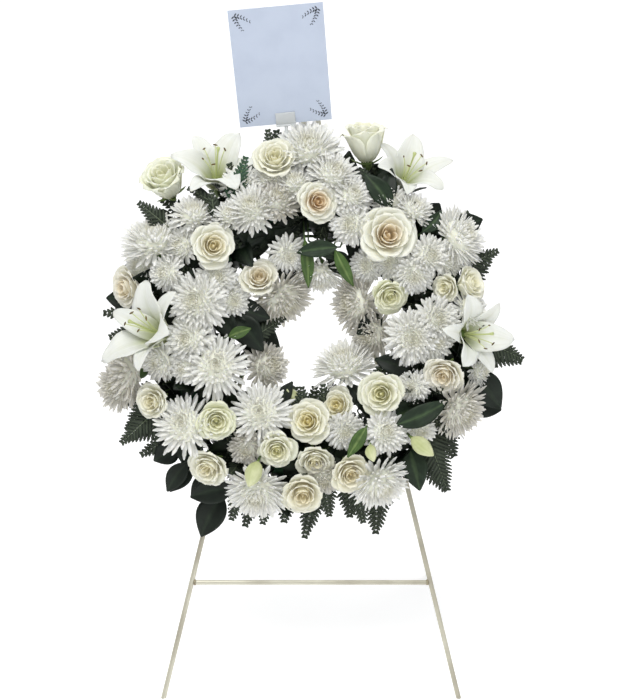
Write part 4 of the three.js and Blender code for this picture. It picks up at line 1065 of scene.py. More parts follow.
@dataclass
class MumHead:
    """A chrysanthemum in shares of its radius, facing +Z."""

    florets: int = 165
    rows: int = 6
    core: float = 0.3
    slim: float = 0.06
    broad: float = 0.06
    shortest: float = 0.2
    longest: float = 0.8
    full_from: float = 0.6
    incurve: float = 34
    last_lean: float = 104
    widest_at: float = 0.74
    keel: float = 0.2
    cushion: float = 0.58
    cushion_half: float = 0.38
    cushion_drop: float = 0.08
    cushion_points: int = 9
    tint_spread: float = 0.025
    heart: Colour = rgb(236, 232, 202)
    body: Colour = WHITE_PETAL
    # Tint of the florets' feet and of the inner cushion, a little darker and yellower than the white body: the
    # florets' greener base and painted shade deep in the bloom.
    foot: Colour = rgb(238, 239, 226)

    def build(self, bloom: Settled, tufts: Tufts, random: np.random.Generator) -> None:
        """Add one chrysanthemum's florets to a mesh.

        Args:
            bloom: Its place, radius and look.
            tufts: The mesh that takes the florets.
            random: Source of small differences.
        """
        count = self.florets
        order = (np.arange(count) + 0.5) / count
        wander = random.normal(0, 1, (count, 5))
        along = np.linspace(0, 1, self.rows)
        base = np.radians(4 + self.last_lean * order**0.75 + 4 * wander[:, 0])[:, None]
        bend = np.radians(-self.incurve * (1 - 0.5 * order**3) + 8 * wander[:, 1])[:, None]
        lean = base + bend * along**1.3
        grown = np.clip(order / self.full_from, 0, 1) ** 0.9
        length = (self.shortest + (self.longest - self.shortest) * grown) * (1 + 0.07 * wander[:, 2])
        start = np.stack([self.core * np.sqrt(order), 0.16 - 0.42 * order], axis=1)
        widest = self.widest_at
        outline = np.where(along < widest, 0.5 + 0.5 * along / widest,
                           np.sqrt(np.clip(1 - ((along - widest) / 0.27) ** 2, 0.08, 1)))
        half = (self.slim + self.broad * grown)[:, None] * outline
        hug = half * 1.1 + 0.01
        grid = petal_grid(along, lean, length, start, half, hug, 3)
        keel = grid[:, :, 1:2].copy()
        depth = self.keel * half[..., None]
        keel[..., 0] += np.cos(lean)[..., None] * depth
        keel[..., 2] -= np.sin(lean)[..., None] * depth
        turns = np.arange(count) * GOLDEN_TURN + 0.06 * wander[:, 3]
        rings = np.concatenate([grid[:, :, 2:3], grid[:, :, 1:2], grid[:, :, 0:1], keel], axis=2)
        points = about_axis(rings, turns) * bloom.radius
        near = np.clip(1.0 - 2.8 * order, 0, 1)[:, None] * (0.5 + 0.5 * (1 - along))
        tint = mixed(self.body, self.heart, near)
        # The florets' feet take the foot tint: partly their real base colour, partly painted shade where they
        # crowd together.
        low = (np.clip(1 - 2.4 * along, 0, 1) * 0.7)[:, None]
        tint = tint * (1 - low) + np.array(self.foot) * low
        tint = tint * (1 + self.tint_spread * wander[:, 4])[:, None, None]
        veins = vein_places(count, self.rows, 4, np.arange(count) * 0.29 + bloom.spin)
        tufts.add_rings(bloom.place(points), np.clip(tint, 0, 1)[:, :, None, :], veins)
        heights = np.linspace(-0.98, 0.98, self.cushion_points)
        heart = on_axis(self.cushion_half * heights - self.cushion_drop) * bloom.radius
        tufts.add_tube(bloom.place(heart), self.cushion * bloom.radius * np.sqrt(1 - heights**2), self.foot, 18)

    def calyx(self, bloom: Settled, tufts: Tufts) -> None:
        """Add the green cup under a chrysanthemum."""
        calyx_cup(bloom, tufts, -0.42, 0.3, rgb(92, 118, 70))


@dataclass
class LilyHead:
    """A lily in shares of its radius, facing +Z."""

    petals: int = 6
    stamens: int = 5
    rows: int = 15
    columns: int = 9
    foot: float = -0.78
    length: float = 1.36
    half_width: float = 0.25
    inner_gain: float = 0.13
    wave: float = 0.03
    rib: float = 0.02
    throat: Colour = rgb(166, 176, 96)
    body: Colour = rgb(234, 236, 231)
    thickness: float = 0.014

    def build(self, bloom: Settled, tufts: Tufts, random: np.random.Generator) -> None:
        """Add one lily's six petals, its stamens and its style to a mesh.

        Args:
            bloom: Its place, radius and look.
            tufts: The mesh that takes them; its second material is the anthers'.
            random: Source of small differences.
        """
        count = self.petals
        index = np.arange(count)
        inner = (index % 2)[:, None]
        wander = random.normal(0, 1, (count, 5))
        along = np.linspace(0, 1, self.rows)
        lean = np.radians(18 + 30 * along + (58 + 10 * wander[:, :1]) * along**3 + 5 * wander[:, 1:2])
        length = self.length + 0.06 * wander[:, 2]
        start = np.stack([np.full(count, 0.06), np.full(count, self.foot)], axis=1)
        outline = np.sin(math.pi * along**0.85) ** 0.7 * 0.94 + 0.06
        half = (self.half_width + self.inner_gain * inner) * outline
        hug = 0.22 + 0.6 * along + 0.12 * inner
        grid = petal_grid(along, lean, length, start, half, hug, self.columns)
        across = np.linspace(-1, 1, self.columns)[None, None, :]
        rise = along[None, :, None]
        ripple = np.sin(rise * 17 + 2 * wander[:, 3][:, None, None])
        wave = self.wave * inner[..., None] * ripple * across**2 * np.sign(across)
        rib = -self.rib * np.exp(-((across / 0.16) ** 2)) * np.sin(math.pi * rise)
        push = wave + rib
        grid[..., 0] += np.cos(lean)[..., None] * -push
        grid[..., 2] += np.sin(lean)[..., None] * push
        points = about_axis(grid, index * math.pi / 3 + 0.05 * wander[:, 4]) * bloom.radius
        green = np.clip(1 - rise * 1.9, 0, 1) + 0.35 * np.exp(-((across / 0.14) ** 2)) * (1 - rise)
        tint = mixed(self.body, self.throat, np.broadcast_to(green, grid.shape[:3]))
        veins = vein_places(count, self.rows, self.columns, index * 0.7 + bloom.spin)
        tufts.add_sheets(bloom.place(points), self.thickness * bloom.radius, tint, veins)
        for number in range(self.stamens):
            self.stamen(bloom, tufts, number * math.pi / 3 + 0.5, random)
        style = bezier(np.array((0, 0, self.foot)), np.array((0.02, 0, 0.0)), np.array((0.09, 0.03, 0.42)), 8)
        radii = np.array([0.02] * 6 + [0.022, 0.045]) * bloom.radius
        tufts.add_tube(bloom.place(style * bloom.radius), radii, rgb(190, 200, 140))

    def stamen(self, bloom: Settled, tufts: Tufts, angle: float, random: np.random.Generator) -> None:
        """Add one thread with its anther."""
        reach = 0.24 + 0.06 * random.random()
        height = 0.22 + 0.08 * random.random()
        out = np.array((math.cos(angle), math.sin(angle), 0))
        end = out * reach + np.array((0, 0, height))
        thread = bezier(np.array((0, 0, self.foot)), np.array((0, 0, -0.1)) + out * 0.06, end, 8)
        radii = np.full(len(thread), 0.011 * bloom.radius)
        tufts.add_tube(bloom.place(thread * bloom.radius), radii, rgb(206, 214, 160), 6)
        side = np.array((-out[1], out[0], 0.3))
        pod = end + side * np.linspace(-0.05, 0.05, 7)[:, None]
        radii = np.array((0.005, 0.013, 0.017, 0.018, 0.017, 0.013, 0.005)) * bloom.radius
        tufts.add_tube(bloom.place(pod * bloom.radius), radii, rgb(128, 112, 74), 8, 1)

    def calyx(self, bloom: Settled, tufts: Tufts) -> None:
        """Add the green neck under a lily."""
        calyx_cup(bloom, tufts, self.foot + 0.06, 0.1, rgb(128, 152, 86))


@dataclass
class BudHead:
    """A closed lily bud, longest along +Z, in shares of half its length."""

    rows: int = 17
    sides: int = 18
    seams: int = 3
    width: float = 0.54
    lobe: float = 0.1
    bend: float = 0.06
    tip: Colour = rgb(226, 228, 192)
    body: Colour = rgb(204, 210, 158)

    def build(self, bloom: Settled, tufts: Tufts, random: np.random.Generator) -> None:
        """Add one bud with its three seams to a mesh.

        Args:
            bloom: Its place, radius and look.
            tufts: The mesh that takes it.
            random: Source of small differences.
        """
        along = np.linspace(0, 1, self.rows)
        angle = np.linspace(0, 2 * math.pi, self.sides, endpoint=False)
        seams = np.cos(self.seams * angle)
        width = self.width * np.sin(math.pi * np.clip(along, 0.02, 0.985) ** 0.85) ** 0.72
        lobes = 1 + self.lobe * seams[None, :] * np.sin(math.pi * along)[:, None]
        bend = self.bend * np.sin(math.pi * along) * (1 + 0.3 * random.random())
        x = width[:, None] * lobes * np.cos(angle) + bend[:, None]
        y = width[:, None] * lobes * np.sin(angle)
        z = np.broadcast_to((along * 2 - 1)[:, None], x.shape)
        points = np.stack([x, y, z], axis=-1)[None] * bloom.radius
        share = along[None, :, None] ** 1.5 + 0.25 * seams
        veins = vein_places(1, self.rows, self.sides, np.array([bloom.spin]))
        tufts.add_rings(bloom.place(points), mixed(self.body, self.tip, share), veins)

    def calyx(self, bloom: Settled, tufts: Tufts) -> None:
        """Add the green neck under a bud."""
        calyx_cup(bloom, tufts, -0.92, 0.14, rgb(116, 138, 76))


def calyx_cup(bloom: Settled, tufts: Tufts, foot: float, width: float, colour: Colour) -> None:
    """Add a small green cup on the bloom's axis, where its petals meet the stem.

    Args:
        bloom: The bloom.
        tufts: The mesh of stems.
        foot: Height of the petals' feet, in shares of the radius.
        width: Half width of the cup, in shares of the radius.
        colour: Its colour.
    """
    path = on_axis(foot + np.array((-0.3, -0.24, -0.12, 0.0, 0.12, 0.2))) * bloom.radius
    radii = np.array((0.3, 0.5, 0.85, 1.0, 0.9, 0.4)) * width * bloom.radius
    tufts.add_tube(bloom.place(path), radii, colour, 12)


def sepals(bloom: Settled, tufts: Tufts, foot: float, count: int, length: float, colour: Colour) -> None:
    """Add the narrow green leaves that hold the petals from below.

    Args:
        bloom: The bloom.
        tufts: The mesh of stems.
        foot: Height of their feet, in shares of the radius.
        count: How many.
        length: Their length, in shares of the radius.
        colour: Their colour.
    """
    rows, columns = 7, 5
    along = np.linspace(0, 1, rows)
    lean = np.radians(84 - 34 * along) * np.ones((count, 1))
    half = 0.11 * (1 - along) ** 0.7 * np.ones((count, 1)) + 0.008
    start = np.tile(np.array((0.1, foot - 0.06)), (count, 1))
    grid = petal_grid(along, lean, np.full(count, length), start, half, np.full((count, rows), 0.3), columns)
    points = about_axis(grid, np.arange(count) * 2 * math.pi / count) * bloom.radius
    veins = vein_places(count, rows, columns, np.arange(count) * 0.6)
    tufts.add_sheets(bloom.place(points), 0.02 * bloom.radius, np.array(colour), veins)


# Greenery


@dataclass(frozen=True)
class BladePlace:
    """Where a blade grows: foot, tip, full width, and the way that its face looks."""

    start: np.ndarray
    tip: np.ndarray
    width: float
    facing: np.ndarray = field(default_factory=lambda: np.array((0, 0, 1.0)))
    roll: float = 0

    def axes(self) -> tuple[np.ndarray, np.ndarray, np.ndarray, float]:
        """Side, front and direction of the blade, and its length."""
        along = self.tip - self.start
        length = float(np.linalg.norm(along))
        direction = along / length
        side = np.cross(direction, self.facing)
        side = side / max(np.linalg.norm(side), TINY)
        front = np.cross(side, direction)
        cosine, sine = math.cos(self.roll), math.sin(self.roll)
        return side * cosine + front * sine, front * cosine - side * sine, direction, length


@dataclass
class LeafBlade:
    """A broad leaf with a folded rib, a wavy rim and a short stalk."""

    rows: int = 15
    columns: int = 9
    thickness: float = 0.0006
    arch: float = 0.06
    fold: float = 0.16
    stalk: float = 0.08
    narrowest: float = 0.0011
    wave: float = 0.03
    nerves: float = 9
    nerve_strength: float = 0.22
    tint_spread: float = 0.08

    def build(
        self, tufts: Tufts, place: BladePlace, colours: tuple[Colour, Colour], random: np.random.Generator
    ) -> None:
        """Add one leaf.

        Args:
            tufts: The mesh that takes it.
            place: Where it grows.
            colours: Colour of the skin and of the rib.
            random: Source of small differences.
        """
        start, width = place.start, place.width
        side, front, direction, length = place.axes()
        along = np.linspace(0, 1, self.rows)
        across = np.linspace(-1, 1, self.columns)
        share = np.clip((along - self.stalk) / (1 - self.stalk), 0, 1)
        outline = np.sin(math.pi * share**0.82) ** 0.82
        half = np.maximum(width / 2 * outline, self.narrowest)
        bow = self.arch * length * np.sin(math.pi * along)
        sway = self.wave * length * random.normal() * np.sin(math.pi * along)
        wave = self.wave * width * np.sin(along[:, None] * 9 + random.random() * 6 + across) * across**2
        lift = bow[:, None] + half[:, None] * np.abs(across) * self.fold + wave
        grid = (start + direction * (along * length)[:, None, None]
                + side * (half[:, None] * across + sway[:, None])[..., None] + front * lift[..., None])
        rib = np.exp(-((across / 0.09) ** 2))[None, :] * np.ones((self.rows, 1))
        nerves = self.nerve_strength * (
            np.sin((along[:, None] * self.nerves - np.abs(across) * 2.2) * 2 * math.pi) > 0.75)
        tint = mixed(colours[0], colours[1], 0.75 * rib + nerves * 0.5)
        tint = tint * (1 + self.tint_spread * random.normal())
        veins = vein_places(1, self.rows, self.columns, np.array([random.random() * 9]))
        tufts.add_sheets(grid[None], self.thickness, np.clip(tint, 0, 1)[None], veins)


@dataclass
class FrondBlade:
    """A fern frond: a bent rib with toothed leaflets on both sides."""

    leaflet_pitch: float = 0.0085
    teeth: int = 4
    thickness: float = 0.0005
    arch: float = 0.06
    bare: float = 0.1
    fewest: int = 6
    notch: float = 0.72
    leaflet_width: float = 0.72
    shortest: float = 0.003
    droop: float = 0.1
    rib_points: int = 14
    rib_radii: tuple[float, float] = (0.0011, 0.0004)
    tint_spread: float = 0.08

    def build(
        self, tufts: Tufts, place: BladePlace, colours: tuple[Colour, Colour], random: np.random.Generator
    ) -> None:
        """Add one frond.

        Args:
            tufts: The mesh that takes it.
            place: Where it grows.
            colours: Colour of the leaflets and of the rib.
            random: Source of small differences.
        """
        start, width, bare = place.start, place.width, self.bare
        side, front, direction, length = place.axes()
        pairs = max(self.fewest, round(length / self.leaflet_pitch))
        shares = bare + (1 - bare) * (np.arange(pairs) + 0.5) / pairs
        bow = self.arch * length

        def on_rib(share: np.ndarray) -> np.ndarray:
            """Points of the rib at shares of its length."""
            rise = bow * np.sin(math.pi * share)
            return start + direction * (share * length)[..., None] + front * rise[..., None]

        rib = on_rib(np.linspace(0, 0.97, self.rib_points))
        tufts.add_tube(rib, np.linspace(*self.rib_radii, self.rib_points), colours[1], 6)
        rows = self.teeth * 2 + 2
        along = np.linspace(0, 1, rows)
        inner = (shares - bare) / (1 - bare)
        reach = width / 2 * (1 - 0.92 * inner) * (1 + 0.06 * random.normal(0, 1, pairs)) + self.shortest
        for hand in (-1, 1):
            feet = on_rib(shares)
            ahead = direction * 0.66 + side * hand * 0.75 + front * 0.08
            ahead = ahead + random.normal(0, 0.05, (pairs, 1)) * front
            ahead = ahead / np.linalg.norm(ahead, axis=1, keepdims=True)
            cross = np.cross(front, ahead)
            toothed = np.where(np.arange(rows) % 2 == 1, 1.0, self.notch)
            body = (1 - 0.9 * along) ** 0.6
            broad = self.leaflet_width * self.leaflet_pitch * (1 - 0.3 * inner)
            half = (toothed * body)[None, :] * broad[:, None]
            centre = feet[:, None] + ahead[:, None] * (reach[:, None] * along)[..., None]
            centre = centre - front * (self.droop * reach[:, None] * along**2)[..., None]
            grid = np.stack([centre - cross[:, None] * half[..., None],
                             centre - front * (0.12 * half)[..., None],
                             centre + cross[:, None] * half[..., None]], axis=2)
            tint = mixed(*colours, np.array((0, 0.35, 0)) * np.ones((pairs, rows, 1)))
            tint = tint * (1 + self.tint_spread * random.normal(0, 1, (pairs, 1, 1, 1)))
            veins = vein_places(pairs, rows, 3, random.random(pairs) * 9)
            tufts.add_sheets(grid, self.thickness, np.clip(tint, 0, 1), veins)


DEEP_LEAF = (rgb(34, 52, 34), rgb(80, 102, 68))
DARK_LEAF = (rgb(20, 32, 22), rgb(42, 56, 40))
BRIGHT_LEAF = (rgb(78, 106, 52), rgb(136, 158, 96))
DEEP_FERN = (rgb(29, 41, 30), rgb(116, 126, 104))
TEAL_FERN = (rgb(46, 82, 66), rgb(110, 134, 96))
STEM_GREEN = rgb(74, 94, 56)
TONES = {Tone.DARK: DARK_LEAF, Tone.DEEP: DEEP_LEAF, Tone.BRIGHT: BRIGHT_LEAF, Tone.TEAL: TEAL_FERN}
FROND_TONES = {**TONES, Tone.DARK: DEEP_FERN}


# The wreath


@dataclass
class Wreath:
    """The blooms and greenery of the ring."""

    palette: Palette
    seed: int = 2026
    filling: int = 560
    stalk_share: float = 0.36
    frond_spread: float = 1.6
    loose_pitch: float = 0.0075
    stem_radius: float = 0.0022
    stalk_radius: float = 0.0013
    loose_radius: float = 0.0012
    front_radii: tuple[float, float] = (0.002, 0.0014)
    neck_depth: float = 0.7
    stem_bend: float = 0.4
    large_radius: float = 0.038
    frame_of: Matrix = field(default_factory=ring_frame)
    blooms: dict[str, list[Settled]] = field(default_factory=dict)

    def __post_init__(self) -> None:
        """Settle every bloom."""
        for order, node in enumerate(BLOOM_NODES):
            self.blooms[node.name] = [settle(spot, node.kind, order + k) for k, spot in enumerate(node.spots)]

    def head_for(self, bloom: Settled) -> RoseHead | MumHead | LilyHead | BudHead:
        """The head that a bloom gets, by its kind, look and size."""
        if bloom.kind is Kind.ROSE:
            return RoseHead()
        if bloom.kind is Kind.LILY:
            return LilyHead()
        if bloom.kind is Kind.BUD:
            return BudHead()
        if bloom.look == "large":
            return MumHead(140, slim=0.042, broad=0.04, longest=0.84, incurve=40, last_lean=100, full_from=0.75,
                           heart=rgb(212, 206, 172))
        # Mums that sit in shade get the darker petal: painted shade.
        body = PAINTED_SHADE_PETAL if bloom.look == "painted_shade" else WHITE_PETAL
        if bloom.radius > self.large_radius:
            return MumHead(200, slim=0.045, broad=0.045, body=body)
        return MumHead(140, body=body)

    def build_blooms(self) -> None:
        """Make one piece for each node of blooms."""
        materials = {
            Kind.ROSE: [self.palette.rose],
            Kind.MUM: [self.palette.mum],
            Kind.LILY: [self.palette.lily, self.palette.anther],
            Kind.BUD: [self.palette.bud],
        }
        for order, node in enumerate(BLOOM_NODES):
            random = np.random.default_rng(self.seed + order)
            tufts = Tufts()
            for bloom in self.blooms[node.name]:
                self.head_for(bloom).build(bloom, tufts, random)
            piece = tufts.build(f"{node.name}_petals", materials[node.kind], self.frame_of)
            dress(piece, node.kind.value, node.name)

    def build_stems(self) -> None:
        """Make the stems and green cups of all blooms as one piece."""
        tufts = Tufts()
        for node in BLOOM_NODES:
            for bloom in self.blooms[node.name]:
                self.head_for(bloom).calyx(bloom, tufts)
                foot = core_point(bloom.centre)
                neck = bloom.centre - bloom.direction * bloom.radius * self.neck_depth
                bend = neck - bloom.direction * np.linalg.norm(neck - foot) * self.stem_bend
                path = bezier(foot, bend, neck, 9)
                tufts.add_tube(path, np.full(len(path), self.stem_radius), STEM_GREEN)
        dress(tufts.build("bloom_stems", [self.palette.stem], self.frame_of), "leaf")

    def build_greens(self) -> None:
        """Make the outer and inner sprays of leaves and fronds, one piece for each node."""
        for order, sprig in enumerate(SPRIGS):
            random = np.random.default_rng(self.seed + 100 + order)
            tufts = Tufts()
            span = np.radians(np.linspace(*sprig.span, 16))
            circle = np.stack([np.cos(span), np.sin(span), np.zeros(len(span))], axis=1) * sprig.radius * MM
            stem = circle + np.array((0, 0, RING.sprig_depth * MM))
            tufts.add_tube(stem, np.full(len(span), self.stem_radius), STEM_GREEN)
            for blade in sprig.blades:
                angle = math.radians(blade.at)
                out, up = math.cos(angle) * sprig.radius, math.sin(angle) * sprig.radius
                start = np.array((out, up, RING.sprig_depth)) * MM
                tip = np.array(blade.tip) * MM
                if blade.kind is Green.LEAF:
                    foot = start + (tip - start) * self.stalk_share
                    stalk = bezier(start, (start + foot) / 2, foot, 5)
                    tufts.add_tube(stalk, np.full(len(stalk), self.stalk_radius), STEM_GREEN, 6)
                    LeafBlade().build(tufts, BladePlace(foot, tip, blade.width * MM), DARK_LEAF, random)
                else:
                    place = BladePlace(start, tip, blade.width * self.frond_spread * MM)
                    FrondBlade().build(tufts, place, DEEP_FERN, random)
            dress(tufts.build(f"{sprig.name}_blades", [self.palette.leaf], self.frame_of), "leaf", sprig.name)

    def build_front_leaves(self) -> None:
        """Make the broad leaves that stand between the blooms."""
        random = np.random.default_rng(self.seed + 200)
        tufts = Tufts()
        root = np.array(FRONT_LEAF_ROOT) * MM
        core = core_point(root)
        thick, thin = self.front_radii
        tufts.add_tube(bezier(core, (core + root) / 2, root, 6), np.full(6, thick), STEM_GREEN)
        for row in FRONT_LEAVES:
            start, tip = np.array(row.start) * MM, np.array(row.tip) * MM
            tufts.add_tube(bezier(root, (root + start) / 2, start, 6), np.full(6, thin), STEM_GREEN)
            LeafBlade().build(tufts, BladePlace(start, tip, row.width * MM), DEEP_LEAF, random)
        piece = tufts.build("leaves_lower_right_blades", [self.palette.leaf], self.frame_of)
        dress(piece, "leaf", "leaves_lower_right")

    def build_loose(self) -> None:
        """Make the small leaves, fronds and blooms that only the dressed part has."""
        random = np.random.default_rng(self.seed + 250)
        blades = Tufts()
        for row in LOOSE_BLADES:
            start, tip = np.array(row.start) * MM, np.array(row.tip) * MM
            core = core_point(start)
            stalk = bezier(core, (core + start) / 2, start, 6)
            blades.add_tube(stalk, np.full(len(stalk), self.loose_radius), STEM_GREEN, 6)
            place = BladePlace(start, tip, row.width * MM)
            if row.kind is Green.LEAF:
                LeafBlade().build(blades, place, TONES[row.tone], random)
            else:
                FrondBlade(self.loose_pitch).build(blades, place, FROND_TONES[row.tone], random)
        dress(blades.build("loose_blades", [self.palette.leaf], self.frame_of), "leaf")
        petals = Tufts()
        for index, spot in enumerate(LOOSE_BLOOMS):
            bloom = settle(spot, Kind.MUM, index)
            self.head_for(bloom).build(bloom, petals, random)
        dress(petals.build("loose_blooms", [self.palette.mum], self.frame_of), "mum")

    def build_filling(self) -> None:
        """Make the leaves and ferns that cover the foam and stand between the blooms."""
        widest, steep = 100, math.radians(45)
        short, long, growth = (0.034, 0.048), (0.048, 0.066), 1.25
        core_height, lowest = 24 * MM, 4 * MM
        flat_start, upright_start, flat_out, upright_side = 0.036, 0.022, 0.35, 0.55
        leaf_width, fern_width, widest_roll = 0.52, 0.62, 0.4
        random = np.random.default_rng(self.seed + 300)
        leaves, ferns = Tufts(), Tufts()
        for number in range(self.filling):
            around = number * GOLDEN_TURN + 0.05 * random.normal()
            tilt = math.radians(random.uniform(-widest, widest))
            spoke = np.array((math.cos(around), math.sin(around), 0))
            out = spoke * math.sin(tilt) + np.array((0, 0, math.cos(tilt)))
            core = spoke * RING.radius * MM + np.array((0, 0, core_height))
            sideways = random.normal(0, 1, 3)
            sideways -= out * sideways.dot(out)
            sideways /= np.linalg.norm(sideways)
            flat = number % 3 != 0
            heading = out * (flat_out if flat else 1.0) + sideways * (1.0 if flat else upright_side)
            heading /= np.linalg.norm(heading)
            size = random.uniform(*(short if tilt < -steep else long))
            size *= growth if tilt > steep else 1
            start = core + out * (flat_start if flat else upright_start) - heading * (0.3 * size if flat else 0)
            tip = start + heading * size
            tip[2] = max(tip[2], lowest)
            fern = number % 4 == 0
            width = size * (fern_width if fern else leaf_width)
            place = BladePlace(start, tip, width, out, random.uniform(-widest_roll, widest_roll))
            if fern:
                FrondBlade(teeth=2).build(ferns, place, DEEP_FERN, random)
            else:
                LeafBlade(rows=8, columns=5).build(leaves, place, DARK_LEAF, random)
        dress(leaves.build("filling_leaves", [self.palette.leaf], self.frame_of), "leaf")
        dress(ferns.build("filling_ferns", [self.palette.fern], self.frame_of), "leaf")


# The ring's body and the card


@dataclass
class RingBody:
    """The foam ring in its tray."""

    palette: Palette
    sides: int = 96
    rounding: float = 0.0008

    def lathe(
        self, name: str, profile: Sequence[tuple[float, float]], material: bpy.types.Material
    ) -> bpy.types.Object:
        """Turn a closed profile of (radius, height) in millimetres about the ring's axis.

        Args:
            name: The piece's name.
            profile: Corners, anticlockwise.
            material: Its material.

        Returns:
            The piece, with its edges slightly rounded.
        """
        angles = np.linspace(0, 2 * math.pi, self.sides, endpoint=False)
        corners = np.array(profile) * MM
        points = [(r * math.cos(a), r * math.sin(a), z) for a in angles for r, z in corners]
        size = len(corners)
        faces = [
            (a * size + k, ((a + 1) % self.sides) * size + k,
             ((a + 1) % self.sides) * size + (k + 1) % size, a * size + (k + 1) % size)
            for a in range(self.sides) for k in range(size)
        ]
        return softened(name, points, faces, material, ring_frame(), self.rounding)

    def build(self) -> None:
        """Make the tray and the foam."""
        inner, outer = RING.radius - RING.tray_half_width, RING.radius + RING.tray_half_width
        wall, height = RING.tray_wall, RING.tray_height
        tray = [(inner, 0), (outer, 0), (outer, height), (outer - wall, height), (outer - wall, wall),
                (inner + wall, wall), (inner + wall, height), (inner, height)]
        dress(self.lathe("ring_tray_shell", tray, self.palette.tray), "tray", "ring_tray")
        half = RING.tray_half_width - wall - STAND.gap
        inner, outer = RING.radius - half, RING.radius + half
        foot, chamfer = wall + STAND.gap, RING.foam_chamfer
        shoulder, top = RING.foam_shoulder, RING.foam_top
        foam = [(inner, foot), (outer, foot), (outer, shoulder), (outer - chamfer / 2, top - 4),
                (outer - chamfer, top), (inner + chamfer, top), (inner + chamfer / 2, top - 4), (inner, shoulder)]
        dress(self.lathe("foam_ring_body", foam, self.palette.foam), "foam", "foam_ring")


def softened(
    name: str, points: Sequence[Sequence[float]], faces: Sequence[tuple[int, ...]], material: bpy.types.Material,
    frame_of: Matrix, width: float,
) -> bpy.types.Object:
    """Make a smooth piece of one material, with rounded edges in its mesh.

    Args:
        name: The piece's name.
        points: Its points, in the frame.
        faces: Its faces.
        material: Its material.
        frame_of: The frame that its points are in.
        width: Width of the rounding in metres.

    Returns:
        The piece.
    """
    sharp = bpy.data.meshes.new(name)
    sharp.from_pydata(points, [], faces)
    sharp.materials.append(material)
    sharp.transform(frame_of)
    sharp.update()
    piece = in_scene(name, sharp)
    bevel = piece.modifiers.new("rounding", "BEVEL")
    bevel.width = width
    bevel.segments = 3
    bevel.limit_method = "ANGLE"
    bevel.angle_limit = math.radians(25)
    bevel.harden_normals = False
    mesh = bpy.data.meshes.new_from_object(piece.evaluated_get(bpy.context.evaluated_depsgraph_get()))
    piece.modifiers.clear()
    piece.data = mesh
    bpy.data.meshes.remove(sharp)
    mesh.polygons.foreach_set("use_smooth", [True] * len(mesh.polygons))
    mesh.set_sharp_from_angle(angle=math.radians(40))
    mesh.update()
    return piece


